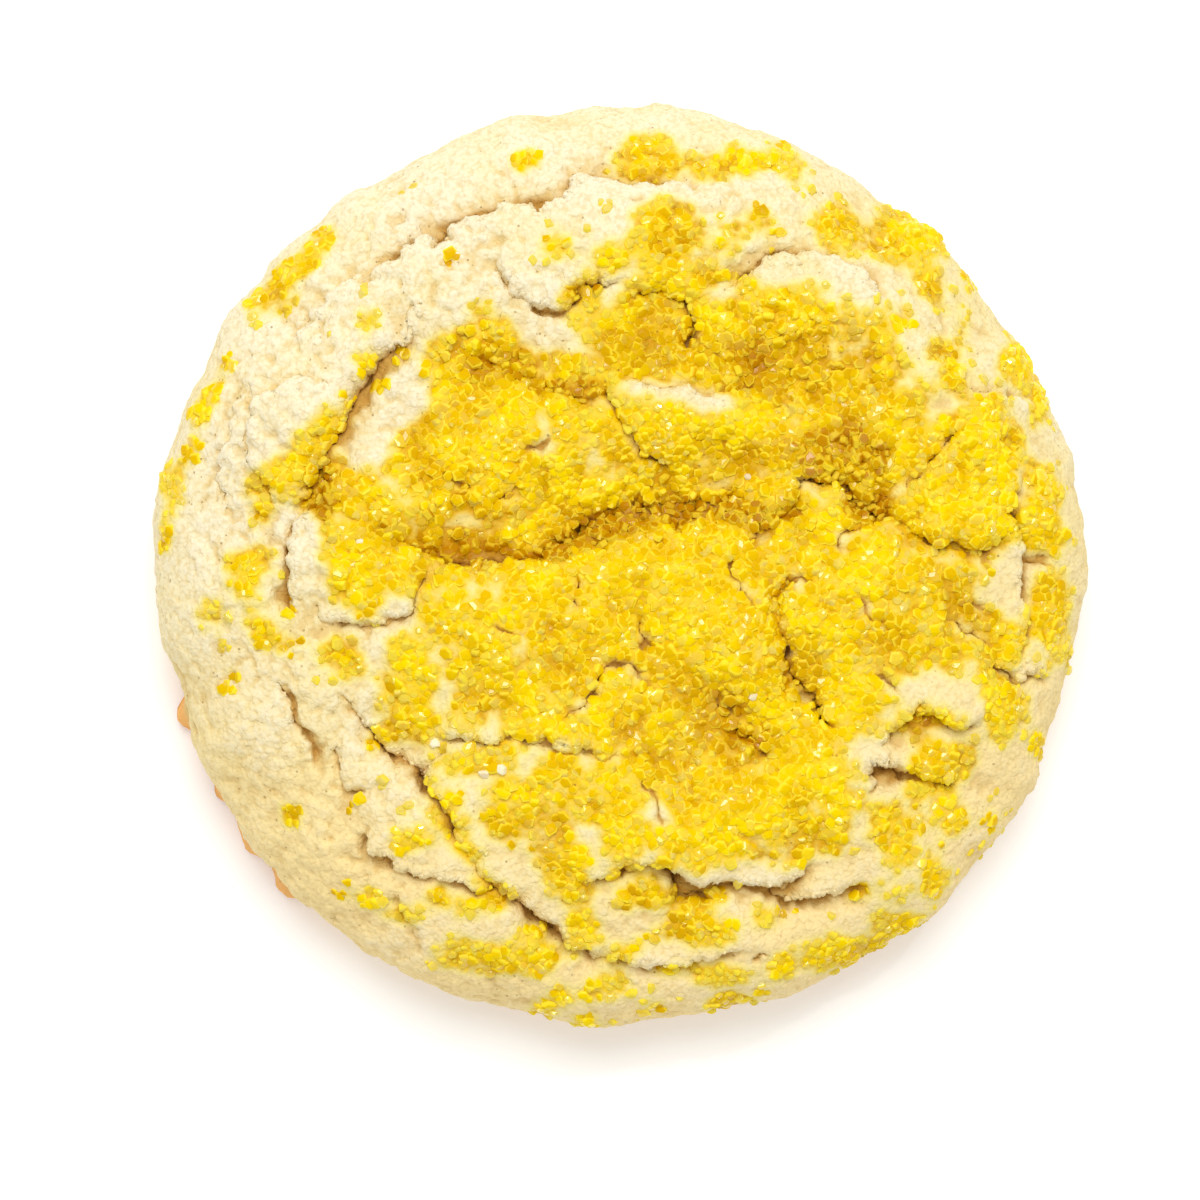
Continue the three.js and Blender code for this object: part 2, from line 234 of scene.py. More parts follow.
# Where sugar lies, by how thickly it covers.
SUGAR = ovals({
    1: (
        (-14, 13.2, 9.6, 7.8), (-13.4, 19, 3.8, 3), (-2, 5, 21, 5), (14, 20.2, 10, 6), (3, 21.4, 6, 4),
        (10, 11, 14, 4.5), (22, 13, 7, 6.6), (0, -5, 17, 8.5), (18, -2, 12, 8), (6, -14, 10, 5),
        (15, -13, 7, 6), (33, 12.4, 4.6, 4.4), (32, 5, 5, 3.6), (40, 3.6, 2.3, 5), (-23, 0.5, 4.6, 4.8),
        (-27.7, 12.2, 1.2, 1.7), (-29.6, 9, 1.5, 1.9), (-26, 7, 3, 2.5), (2.3, 39, 2.8, 1.9),
        (11.6, 38.4, 3.6, 1.2), (20.7, 33, 2.2, 1.8), (27.6, 32.2, 3, 2.5), (4, 30.6, 2.8, 3),
        (5, 27, 3.4, 1.6), (-1, 28.6, 1.1, 0.8), (9.2, 26.6, 1.3, 1), (-5.4, 18.6, 1.7, 1.1),
        (38.6, 20, 1.5, 2.2), (35.8, -12.6, 2.4, 2.8), (-26, -8.7, 1.5, 1.1), (-13, -31.3, 2.5, 1.1),
        (-11, -37, 4.4, 1.1), (21, -37, 2.9, 1.2), (28.6, 33, 2.4, 2.2), (39.4, 20.4, 1.5, 2),
        (27.3, -33.8, 1.6, 1.1),
    ),
    0.95: (
        (-12, -8, 6, 6), (-7.5, -14.2, 3.4, 2.2), (41, -4, 1.6, 4.4), (-32, 8, 1, 1.4),
        (28.8, -14, 2.3, 1), (-7.5, -37.2, 1.3, 1.5), (-4, -34, 1.6, 1.9), (22.6, -12.6, 2.4, 3.6),
        (-14.6, -12.6, 2.4, 1.6),
    ),
    0.9: (
        (8, -22.4, 13, 6), (31.5, 19, 1.6, 2.4), (-29.8, 5.6, 1, 0.8), (-4, 25.6, 2.2, 1.2),
        (30, -18.8, 3, 2.4), (-5.3, -29.6, 1.5, 2), (10.4, -41.6, 2.2, 0.9), (15.2, -37.4, 1.5, 1.4),
        (-16, -22.6, 1.6, 1.5),
    ),
    0.85: (
        (26, -4, 9, 6), (-10.5, -23, 3.4, 3), (-19.4, -14, 2.1, 2.6), (18, -22, 4.4, 5.6),
        (-35.3, -1, 1.6, 2.4), (7.4, -33.6, 3.8, 2), (9.6, -32, 2.6, 1.3),
    ),
    0.8: (
        (-20, -10.6, 3, 3.4), (34.6, -6, 3.6, 3.4), (-34.4, 5.4, 1.3, 1), (29.6, 27, 1.4, 1.2),
        (4, -38.4, 0.8, 1.1), (1, -31.4, 3.6, 1), (40.6, 16.8, 1.1, 2.2),
    ),
    0.75: ((15.5, -33, 1.8, 0.9),),
    0.7: (
        (-10.5, -21.4, 8.4, 4.4), (14.2, 31.8, 1.2, 0.8), (24, 30.4, 1.2, 0.8), (-7, 29.8, 1.7, 0.9),
        (25.8, -25, 1.8, 2.6), (-8.6, -34.6, 1.4, 1), (3, -35, 2.4, 1), (14, -40, 1.1, 0.9),
    ),
    0.64: ((-5, -26, 4, 3.6),),
    0.6: (
        (9.6, 31, 1.4, 1), (35.2, -23.8, 1, 2), (0.6, -36.6, 2, 0.7), (3.3, -42.2, 2.4, 0.6),
        (16.3, -32.8, 1.3, 1),
    ),
    0.52: ((29.4, -24.4, 5, 3.2),),
})

# Single grains and pairs that stuck to the rim and the bare folds: half sizes, and where they are.
CLUMP_SIZE = (1.1, 1.1)
CLUMPS = (
    (-28, 30.8), (-28.8, 29.7), (-30.5, 28.7), (-32.2, 27.5), (-33, 26.4), (-34.2, 25.4), (-31.5, 24.5),
    (-37.2, 19.3), (-38.7, 16.7), (-40.2, 14.7), (-41, 11.2), (-43.4, 2.6), (-9, 38.2), (-16.5, 29),
    (-21.4, 20.6), (-23, 17.2), (-24.6, 19), (-26.2, 15.2), (-17.8, 18.2), (-31.4, -3.7), (-33.3, -6.7),
    (-31, -8), (-36.8, -11.2), (-22, -15), (-24, -17), (-31.3, -23.4), (-25, -22.9), (-20.6, -25.7),
    (-19.2, -25), (-14.6, -27.2), (-26.4, -30.8), (-24.2, -31.6), (-17.5, -31.3), (25.3, -36.2),
    (28.7, -29), (22.5, -30.9), (29.5, -30.5), (-7, -42), (-5.3, -40.8), (-2.6, -40.3), (-3, -42.8),
    (40, -17), (32.4, -24), (26.6, 22.4), (34, 28), (-1, -28.6), (12.6, 33.4), (16, 40.4),
)

# Where pale grains lie on their own.
PALE = ovals({
    1: (
        (-23.6, 22.6, 1.5, 0.8), (-27, 21.3, 0.9, 0.7), (-31.8, 24.6, 1.6, 0.9), (-35, 23.2, 0.8, 0.8),
        (-20.5, 35.5, 1, 1), (-34.5, 7, 1.2, 1.6), (-24, 25.4, 0.7, 0.7), (-38.6, -4.6, 1.4, 1.6),
        (-42.4, 8, 0.9, 2.4), (-42.8, 4.6, 0.8, 1.2), (-37.4, -7.4, 0.7, 0.6), (-28, -10.6, 1, 0.8),
        (-22.6, -20.8, 1, 1), (-14, 24.4, 2, 1), (-2, 33.6, 1.4, 0.6), (12, 31.6, 2.4, 1.1),
        (17, 36, 2, 1), (22, 29.4, 2.4, 0.8), (33, 24, 1, 1.6), (-14, -27, 1.4, 1.2), (-20, -33, 2, 0.9),
        (26, -31, 2, 1.2), (-1, -40, 3, 1), (9, -38.6, 3, 1), (31, -29, 1.4, 1), (-5, 22.6, 1.6, 0.8),
        (26, 24.6, 1.2, 0.8),
    ),
})

# Clear crystals that took no colour: half sizes of the spot that holds one, and where they are.
CLEAR_SIZE = (0.95, 0.95)
CLEAR = ((-17.3, -17.7), (-12.5, -19.5), (10.8, 17.5), (12, -12.5), (12.5, 8.5), (-24, 1.5))

# Patches that the sugar left bare, by their turn in degrees.
BARE = ovals({
    -20: ((-21.4, -3.6, 0.9, 1.2), (22, 26.4, 2.6, 1)),
    -12: ((5.6, 15.8, 5, 1.2),),
    -10: ((23.4, -19.4, 0.7, 2.6),),
    -8: ((29.6, -11.5, 3.2, 1.2),),
    -4: ((18, -29.6, 5.4, 1.1),),
    0: (
        (-17.1, -11.6, 0.8, 3.2), (-13.6, -22.6, 2.2, 0.6), (-12.6, 24.6, 3.4, 1.7),
        (-3, -25.3, 1.5, 1.3), (3.6, 36, 4.4, 1), (2.9, -23.6, 1.1, 1.1), (26, -17.4, 1.7, 1.6),
        (22.2, -24.8, 0.9, 2.2), (8, -28.8, 9, 0.6), (37, -2.4, 1.5, 3.2), (34.6, -2.2, 1.5, 0.8),
        (-7.6, 13, 0.8, 1.5), (30.6, 15.4, 1.8, 1.3), (20, 20.4, 0.9, 1.3),
    ),
    5: ((-14.5, -20.4, 3.6, 0.7),),
    8: ((-6.3, 22, 3.6, 1.8),),
    10: ((-29.4, 0, 1.3, 4), (25.8, 22.6, 0.8, 1.6)),
    15: ((1, -33.8, 3.2, 1.5),),
    20: ((39.2, -7.7, 1, 0.7),),
    30: ((26.6, 17.2, 1.4, 0.8),),
    61: ((-21.8, 15, 6.8, 2.7),),
})

# Where sugar heaped up in a second layer, and where it is gold and amber, partly melted sugar and partly
# painted shade in the valleys, by how strongly.
HEAPS = ovals({
    1: (
        (0, 5, 18, 3.2), (-13, 20, 4.6, 3), (14, 20, 9, 4.5), (22, 9.5, 4, 3), (13, -13, 6, 4),
        (-15, 8, 5, 3), (27, 31.8, 2.2, 2),
    ),
})
AMBER = ovals({
    1: ((-5, 2.2, 3.4, 1.3), (-0.4, 3.8, 4, 1.7), (4.6, 5.2, 4.2, 1.6), (-6.6, 1, 2.4, 1.3)),
    0.9: ((23.4, 5.6, 2.6, 1.8),),
    0.85: ((-28.4, 7.4, 1.7, 3.6),),
    0.75: ((11, 4.9, 5, 1.3),),
    0.7: ((-5, 16.6, 3.4, 1.2), (20, 10.6, 5, 3)),
    0.6: ((15.6, 5.6, 1.6, 1.4), (12.6, -17, 2.6, 1.8), (5.6, -30.4, 2.4, 1.6), (-4, 26, 2.4, 1.2)),
    0.55: ((-20, 3.8, 3, 1.5), (10.4, 19.8, 4, 2.6)),
    0.5: (
        (-14, 1.2, 5.5, 1.3), (-18.5, -0.4, 2.2, 1.4), (12, 16.6, 3.6, 1.1), (31.6, 16.2, 1.8, 1.2),
        (3, 20.4, 8, 2), (29, -15, 3, 1.2), (-12, -31, 2.4, 1.2),
    ),
    0.45: ((-12, 19, 4, 2.4),),
    0.4: ((16.6, -9, 2.6, 3.4),),
    0.3: ((11, -12, 4, 2),),
})


class Noise:
    """Smooth random values in space, from a lattice with a seed of its own for each purpose."""

    SIZE = 48
    SEEDS = {"folds": 3, "wander": 5, "fine foot": 6, "patches": 7, "clumps": 8, "dust": 9, "rim": 10,
             "foot": 12}

    def __init__(self, purpose):
        self.lattice = np.random.default_rng(self.SEEDS[purpose]).uniform(-1, 1, (self.SIZE,) * 3)

    def __call__(self, points, wavelength):
        """Values between -1 and 1 at points (n, 3), for features of about the wavelength."""
        places = points / wavelength
        cell = np.floor(places).astype(int)
        share = places - cell
        share = share * share * (3 - 2 * share)
        total = np.zeros(len(points))
        for corner in product((0, 1), repeat=3):
            weight = np.prod(np.where(corner, share, 1 - share), axis=1)
            total += weight * self.lattice[tuple(((cell + corner) % self.SIZE).T)]
        return total


def smooth(value, low, high):
    """0 below low, 1 above high, and a smooth rise between them."""
    share = np.clip((value - low) / (high - low), 0, 1)
    return share * share * (3 - 2 * share)


def bell(value):
    return np.exp(-value * value)


def stretch(angle, place):
    """1 at the middle of a stretch of the rim, falling to 0 at its ends."""
    away = np.abs((angle - math.radians(place["middle"]) + math.pi) % TURN - math.pi)
    half = math.radians(place["half"])
    return 1 - smooth(away, half * 0.4, half)


def outline(angle):
    """Radius of the belly at an angle."""
    radius = np.full_like(angle, RADIUS)
    for count, rise, start in LOBES:
        radius += rise * np.cos(count * (angle - math.radians(start)))
    return radius - FLAT["depth"] * stretch(angle, FLAT)


def laid(places):
    """Where drawn positions lie on the cookie."""
    return (np.array(places, float) - DRAWN_OFF) / DRAWN


# Spacing of the points that a fold or a crack is followed by.
LINE_STEP = 0.7


def spaced(points):
    """Points at an even spacing along a smooth curve through a few drawn ones."""
    points = laid(points)
    knots = np.array([2 * points[0] - points[1], *points, 2 * points[-1] - points[-2]])
    found = []
    for a, b, c, d in zip(knots, knots[1:], knots[2:], knots[3:]):
        count = max(2, round(np.linalg.norm(c - b) / LINE_STEP))
        t = np.arange(count)[:, None] / count
        found.append(b + 0.5 * t * (c - a + t * (2 * a - 5 * b + 4 * c - d + t * (3 * (b - c) + d - a))))
    return np.vstack([*found, knots[-2]])


def nearest(line, plan):
    """Signed distance from a line, positive on its left, share of the way along it, and the way out."""
    distance = np.full(len(plan), np.inf)
    along = np.zeros(len(plan))
    away = np.zeros_like(plan)
    for i, (a, b) in enumerate(zip(line, line[1:])):
        run = b - a
        share = np.clip((plan - a) @ run / (run @ run), 0, 1)
        out = plan - a - share[:, None] * run
        gap = np.linalg.norm(out, axis=1)
        closer = gap < np.abs(distance)
        side = np.sign(run[0] * out[:, 1] - run[1] * out[:, 0])
        distance[closer] = (side * gap)[closer]
        along[closer] = (i + share[closer]) / (len(line) - 1)
        away[closer] = np.array([-run[1], run[0]]) / np.linalg.norm(run)
    return distance, along, away


# The plan pattern

# The share of a line's length over which it dies out at each end, and over which the mesh gathers less.
FOLD_ENDS = 0.14
CRACK_ENDS = 0.25
PULL_ENDS = 0.1

# How a fold cuts in. Shares of its depth in the slope and in the slit at its foot, the slope's reach on the
# open side and under the lip in widths of the fold, the half width of the slit, and the share of its lift.
SLOPE, SLIT = 0.55, 0.35
OPEN_REACH, LIP_REACH = 1.1, 0.5
SLIT_WIDTH = 0.4
LIFTED = 0.8

# How far the painted shade of a fold reaches on its open side, in widths, and under its lip, and the depth
# of the fold from which the painted shade is full.
DARK_REACH, DARK_UNDER, DARK_DEPTH = 0.8, 0.35, 1.8


def inner(along, share):
    """1 along a line, falling to 0 over a share of it at each end."""
    return smooth(along, 0, share) * (1 - smooth(along, 1 - share, 1))


def relief(plan):
    """What the folds do at plan positions.

    It gives how far the surface stands out of the smooth dome, how far its lips lean over, and where it
    gets painted shade in a groove, is too cracked for sugar, and is torn along a lip.
    """
    distance = np.linalg.norm(plan, axis=1)
    angle = np.arctan2(plan[:, 1], plan[:, 0])
    rise = COLLAR["rise"] * bell((distance - COLLAR["radius"]) / COLLAR["width"]) * stretch(angle, COLLAR)
    for turn_x, turn_y, start, height in WAVES:
        rise += height * np.sin(turn_x * plan[:, 0] + turn_y * plan[:, 1] + start)
    for x, y, long, wide, turn, height in SWELLS:
        rise += height * bell(oval(plan, (x, y), (long, wide), turn))
    lean = np.zeros_like(plan)
    groove, cracked, torn_lip = np.zeros((3, len(plan)))
    for points, depth, width, lift, reach, lip in FOLDS:
        near, at, along, away = close_to(points, plan, 3.5 * reach)
        ends = inner(along, FOLD_ENDS)
        left = smooth(at, -0.25, 0.4) * np.exp(-np.maximum(at, 0) / reach)
        slope = bell(at / (width * np.where(at < 0, OPEN_REACH, LIP_REACH)))
        cut = SLOPE * slope + SLIT * bell(at / SLIT_WIDTH)
        rise[near] += ends * (LIFTED * lift * left - depth * cut)
        lean[near] -= away * (ends * lip * smooth(at, -0.1, 0.4) * (1 - smooth(at, 0.5, 2.4)))[:, None]
        # Painted shade in the groove, widest on its open side.
        dark = bell(at / np.where(at < 0, DARK_REACH * width, DARK_UNDER)) * min(1, depth / DARK_DEPTH)
        groove[near] = np.maximum(groove[near], ends * dark)
        if width < 1:
            cracked[near] = np.maximum(cracked[near], ends * (1 - smooth(np.abs(at + 0.3), 0.45, 0.9)))
        edge = smooth(at, -0.15, 0.2) * (1 - smooth(at, 0.8, 1.7)) * min(1, lip / 0.5)
        torn_lip[near] = np.maximum(torn_lip[near], ends * edge)
    for points, depth, width in CRACKS:
        near, at, along, away = close_to(points, plan, 4 * width)
        ends = inner(along, CRACK_ENDS)
        rise[near] -= ends * depth * bell(at / width)
        groove[near] = np.maximum(groove[near], ends * bell(at / width))
        cracked[near] = np.maximum(cracked[near], ends * (1 - smooth(np.abs(at), 0.5, 1.0)))
    return rise, lean, groove, cracked, torn_lip


def oval(plan, middle, size, turn=0):
    """Distance from the middle of an oval, counted in its half sizes."""
    x, y = (plan - laid(middle)).T
    cos, sin = math.cos(math.radians(turn)), math.sin(math.radians(turn))
    return np.hypot((cos * x + sin * y) / size[0], (cos * y - sin * x) / size[1])


def close_to(points, plan, reach):
    """The plan positions within reach of a curve, with nearest()'s answers for them."""
    line = spaced(points)
    low, high = line.min(0) - reach, line.max(0) + reach
    near = np.flatnonzero(((plan > low) & (plan < high)).all(1))
    return near, *nearest(line, plan[near])


# How the mesh is drawn in to a fold or a crack: how strongly, over what half width, and from how far.
PULL = 0.55
PULL_WIDTH = 0.8
PULL_REACH = 4


def gathered(plan, share):
    """Plan positions drawn in towards the folds and cracks, so that the mesh is finest where they cut."""
    plan = plan.copy()
    for points, *rest in (*FOLDS, *CRACKS):
        near, at, along, away = close_to(points, plan, PULL_REACH)
        pull = PULL / (1 + (at / PULL_WIDTH) ** 2) * inner(along, PULL_ENDS)
        plan[near] -= away * (at * pull * share[near])[:, None]
    return plan


def not_bare(plan, wander):
    """0 on the patches that the sugar left bare, and 1 elsewhere."""
    shares = [smooth(oval(plan, middle, size, turn) + 0.25 * wander, 0.75, 1.15)
              for middle, size, turn in BARE]
    return np.min(shares, axis=0)


def cover(plan, wander, clumps):
    """How thickly sugar lies at plan positions, from 0 to 1, broken up into clumps where it is thin."""
    thick = np.zeros(len(plan))
    for middle, size, strength in SUGAR:
        inside = 1 - smooth(oval(plan, middle, size) + 0.2 * wander, 0.6, 1.35)
        thick = np.maximum(thick, strength * inside)
    thick *= not_bare(plan, wander)
    share = 0.3 + 0.7 * smooth(thick, 0.45, 0.85)
    thick = share * smooth(thick + clumps * (1.6 - 0.8 * thick), 0.38, 0.55) * smooth(thick, 0.05, 0.25)
    for middle in CLUMPS:
        inside = 1 - smooth(oval(plan, middle, CLUMP_SIZE) + 0.45 * wander, 0.7, 1.1)
        thick = np.maximum(thick, 0.8 * inside)
    return thick


# How far pale grains lie out from the sugared patches, and the share of them left by the lower folds.
DUST_REACH = 2.1
DUST_BELOW = 0.72


def dusting(plan, wander, clumps):
    """How thickly pale grains lie round the sugared patches, from 0 to 1."""
    inside = []
    for middle, size, strength in SUGAR:
        away = (oval(plan, middle, size) - 1) * min(size) + 0.6 * wander
        inside.append(strength * (1 - smooth(away, 0, DUST_REACH)))
    thick = np.max(inside, axis=0) * not_bare(plan, wander)
    alone = [1 - smooth(oval(plan, middle, size) + 0.3 * wander, 0.7, 1.2) for middle, size, _ in PALE]
    thick *= DUST_BELOW + (1 - DUST_BELOW) * smooth(plan[:, 1], -33, -26)
    thick = smooth(thick + 0.8 * clumps, 0.4, 1.0) * smooth(thick, 0.05, 0.3)
    return 0.6 * np.maximum(thick, np.max(alone, axis=0))


def patches(plan, places, wander):
    """How strongly a few ovals with ragged edges mark plan positions, from 0 to 1."""
    inside = [strength * (1 - smooth(oval(plan, middle, size) + 0.25 * wander, 0.7, 1.2))
              for middle, size, strength in places]
    return np.max(inside, axis=0)


# The dough


# Points along the dome, the tuck and the foot, where the mesh's own spacing is laid out.
DOME_POINTS, TUCK_POINTS, FOOT_POINTS = 400, 30, 12


def section():
    """The section from the crown to the middle of the underside, as points (radius, level)."""
    quarter = np.linspace(0, math.pi / 2, DOME_POINTS)
    power = 2 / SQUARENESS
    height = CROWN - BELLY
    dome = np.stack([RADIUS * np.sin(quarter) ** power, BELLY + height * np.cos(quarter) ** power], 1)
    share = np.linspace(0, 1, TUCK_POINTS)[1:]
    tuck = np.stack([RADIUS - TUCK * share**2, BELLY + (FOOT - BELLY) * share], 1)
    corner = RADIUS - TUCK - FOOT
    turn = np.linspace(0, math.pi / 2, FOOT_POINTS)[1:]
    foot = np.stack([corner + FOOT * np.cos(turn), FOOT - FOOT * np.sin(turn)], 1)
    foot[-1, 1] = 0
    return np.vstack([dome, tuck, foot, [[0, 0]]])


def stations():
    """Stations along the section: radius, level, way out, and the mesh spacing there."""
    points = section()
    found = []
    due = TOP_STEP
    for a, b in zip(points, points[1:]):
        run = b - a
        length = np.linalg.norm(run)
        while due < length:
            radius, level = a + run * due / length
            rising = smooth(np.array(level), BELLY - 1, BELLY + 4)
            step = UNDER_STEP if a[1] == 0 else SIDE_STEP + (TOP_STEP - SIDE_STEP) * float(rising)
            found.append((radius, level, -run[1] / length, run[0] / length, step))
            due += step
        due -= length
    return np.array(found)


def rings():
    """Every mesh point's angle and station, row by row, with each row's first point and its count."""
    rows, angles, owners = [], [], []
    for row, (radius, level, out, up, step) in enumerate(stations()):
        count = max(6, round(TURN * radius / (step * 1.08)))
        lead = (row % 2) / 2 / count
        rows.append((1 + sum(map(len, angles)), count, lead))
        angles.append(TURN * (np.arange(count) / count + lead))
        owners.append(np.full(count, row))
    return rows, np.concatenate(angles), np.concatenate(owners)


def zipped(rows, crown, middle):
    """Triangles between neighbouring rings, and fans at the crown and under the middle."""
    faces = []
    first, count, lead = rows[0]
    faces += [(crown, first + i, first + (i + 1) % count) for i in range(count)]
    for (first_a, count_a, lead_a), (first_b, count_b, lead_b) in zip(rows, rows[1:]):
        i = j = 0
        while i < count_a or j < count_b:
            here, there = first_a + i % count_a, first_b + j % count_b
            behind = (i + 1) / count_a + lead_a < (j + 1) / count_b + lead_b
            if j >= count_b or (i < count_a and behind):
                i += 1
                faces.append((here, there, first_a + i % count_a))
            else:
                j += 1
                faces.append((here, there, first_b + j % count_b))
    first, count, lead = rows[-1]
    faces += [(first + i, middle, first + (i + 1) % count) for i in range(count)]
    return faces


def ran_out(angle, radius, level, under):
    """How far the foot ran out over the tray, in lumps."""
    degrees = np.degrees(angle)
    spread = np.max([reach * bell((degrees - middle) / half) for middle, half, reach in SPREADS], axis=0)
    spread *= (1 - smooth(level, FOOT * 0.8, BELLY * 0.7)) * np.where(under, radius / RADIUS, 1)
    round_rim = np.column_stack([FOOT_LUMPS["count"] * angle, 0.4 * level, 0 * level])
    coarse, fine = Noise("foot")(round_rim, 0.9), Noise("fine foot")(round_rim, 0.45)
    return spread * (1 + FOOT_LUMPS["rise"] * coarse + FOOT_LUMPS["rise"] * fine)


def marks(place, spread, groove, cracked, torn_lip):
    """What varies over the dough, mostly from 0 to 1: where it tore, browned or took sugar, and its painted
    light and shade.
    """
    plan, level = place[:, :2], place[:, 2]
    wander = Noise("wander")(place, 2.6)
    facing_up = smooth(level, BELLY - 1.5, BELLY + 1)
    angle = np.arctan2(plan[:, 1], plan[:, 0])
    distance = np.linalg.norm(plan, axis=1)
    band = stretch(angle, CRUMBLY) * smooth(distance, 20, 27) * (1 - smooth(distance, 38, 42.5))
    patchy = smooth(Noise("patches")(place, 7), -0.1, 0.4)
    torn = smooth(np.maximum(groove, torn_lip), 0.03, 0.4)
    torn = np.maximum(torn, 0.3 + 1.5 * band * (0.5 + 0.5 * patchy))
    torn = np.maximum(torn, 0.4 + 0.4 * patchy) * smooth(level, BELLY * 0.4, BELLY)
    bake = np.maximum(1 - smooth(level + 0.9 * wander, 0.2, 3.4), 0.5 * smooth(spread, 0.4, 1.3))
    melted = patches(plan, AMBER, wander) * facing_up
    thick = cover(plan, wander, Noise("clumps")(place, 1.35)) * facing_up * (1 - cracked)
    dusted = dusting(plan, wander, Noise("dust")(place, 1.2)) * facing_up * (1 - cracked)
    dusted *= 1 - 0.7 * thick
    return {
        "free": smooth(level, 0.2, 1.6),
        "torn": torn,
        # The yellower side is partly painted shade, and the whiter upper left is painted light.
        "golden": stretch(angle, GOLDEN) * smooth(distance, 20, 40),
        "chalky": stretch(angle, PAINTED_LIGHT) * smooth(distance, 16, 26),
        "bake": bake,
        "cover": thick,
        "dusting": dusted,
        "heap": patches(plan, HEAPS, wander) * facing_up,
        "amber": melted,
        "syrup": smooth(melted, 0.5, 0.75),
        "clear": patches(plan, [(middle, CLEAR_SIZE, 1) for middle in CLEAR], wander) * facing_up,
        "crumbs": smooth(torn_lip, 0.35, 0.8) * facing_up,
    }


def shaped(settings):
    """The dough's points in millimetres, its triangles, and what varies over it."""
    rows, angle, owner = rings()
    radius, level, out, up, step = stations()[owner].T
    under = level < 1e-9
    spread = ran_out(angle, radius, level, under)
    way = np.stack([np.cos(angle), np.sin(angle)], 1)
    round_rim = np.column_stack([RIM_BUMPS["count"] * way, 0.1 * level])
    bumps = RIM_BUMPS["rise"] * Noise("rim")(round_rim, 1) * smooth(radius, 34, 42) * ~under
    reach = radius * outline(angle) / RADIUS + spread + bumps
    flat = reach[:, None] * way
    on_top = smooth(level, BELLY + 4, BELLY + 9)
    plan = gathered(flat, on_top)
    moved = np.linalg.norm(plan, axis=1) * RADIUS / outline(np.arctan2(plan[:, 1], plan[:, 0]))
    domed = BELLY + (CROWN - BELLY) * np.maximum(0, 1 - (moved / RADIUS) ** SQUARENESS) ** (1 / SQUARENESS)
    level = level + (domed - level) * on_top

    place = np.column_stack([plan, level])
    ragged = Noise("folds")
    warp = np.zeros_like(plan)
    for number, (wavelength, share) in enumerate(WARPS):
        starts = (80 * number, 80 * number + 40)
        warp += np.stack([ragged(place + start, wavelength) for start in starts], 1) * share
    rise, lean, groove, cracked, torn_lip = relief(plan + warp)
    share = smooth(level, FOOT, BELLY * 1.6) * ~under
    rise *= share * settings.crease_depth
    lean *= (share * on_top)[:, None]
    points = np.column_stack([plan + lean + (out * rise)[:, None] * way, level + up * rise])

    middle = np.array([[0, 0]], float)
    crown_rise = relief(middle)[0][0] * settings.crease_depth
    points = np.vstack([[[0, 0, CROWN + crown_rise]], points, [[0, 0, 0]]])
    varies = {**marks(place, spread, groove, cracked, torn_lip), "groove": groove * share}
    varies = {name: np.concatenate([value[:1], value, value[-1:]]) for name, value in varies.items()}
    return points, zipped(rows, 0, len(points) - 1), varies


# Nodes


class Signal:
    """One output of a node, which adds Math nodes where it is used in a sum."""

    def __init__(self, graph, socket):
        self.graph = graph
        self.socket = socket

    def __add__(self, other):
        return self.graph.math("ADD", self, other)

    def __sub__(self, other):
        return self.graph.math("SUBTRACT", self, other)

    def __mul__(self, other):
        return self.graph.math("MULTIPLY", self, other)

    def __pow__(self, other):
        return self.graph.math("POWER", self, other)

    def __radd__(self, other):
        return self.graph.math("ADD", other, self)

    def __rsub__(self, other):
        return self.graph.math("SUBTRACT", other, self)

    def __rmul__(self, other):
        return self.graph.math("MULTIPLY", other, self)

    def rise(self, low, high):
        """0 where the signal is below low, 1 above high, and smooth between them."""
        settings = {"interpolation_type": "SMOOTHSTEP"}
        values = {"Value": self, "From Min": low, "From Max": high}
        return self.graph.node("ShaderNodeMapRange", settings, values)


class Graph:
    """Adds nodes to one tree."""

    def __init__(self, tree):
        self.tree = tree

    def node(self, kind, settings=None, values=None, output=0):
        """A new node: its settings first, then the values or links of its sockets."""
        made = self.tree.nodes.new(kind)
        for name, value in (settings or {}).items():
            setattr(made, name, value)
        for name, value in (values or {}).items():
            if isinstance(value, Signal):
                self.tree.links.new(value.socket, made.inputs[name])
            else:
                made.inputs[name].default_value = value
        return Signal(self, made.outputs[output]) if made.outputs else None

    def math(self, operation, *values):
        return self.node("ShaderNodeMath", {"operation": operation}, dict(enumerate(values)))

    def scaled(self, vector, factor):
        return self.node("ShaderNodeVectorMath", {"operation": "SCALE"}, {0: vector, "Scale": factor})

    def blend(self, factor, first, second):
        """A colour between two, where factor goes from 0 to 1."""
        return self.node("ShaderNodeMix", {"data_type": "RGBA"}, {0: factor, 6: first, 7: second}, output=2)

    def layered(self, colour, layers):
        """A colour with others laid over it, each with how strongly it covers."""
        colour = (*colour, 1)
        for factor, above in layers:
            colour = self.blend(factor, colour, (*above, 1))
        return colour

    def jittered(self, place, scale, reach):
        """Places shifted a little, so that cells round them lose their even edges."""
        shift = self.node("ShaderNodeTexNoise", None, {"Vector": place, "Scale": scale}, output=1)
        shift = self.scaled(shift, reach)
        return self.node("ShaderNodeVectorMath", {"operation": "ADD"}, {0: place, 1: shift})

    def noise(self, place, size, detail=2.0, roughness=0.55):
        """Smooth noise with features of about a size, in the units of the place."""
        values = {"Vector": place, "Scale": 1 / size, "Detail": detail, "Roughness": roughness}
        return self.node("ShaderNodeTexNoise", None, values)

    def cells(self, place, size, feature="F1", **values):
        """Distance to the nearest of some scattered points, counted in their spacing."""
        values = {"Vector": place, "Scale": 1 / size, **values}
        return self.node("ShaderNodeTexVoronoi", {"feature": feature}, values)


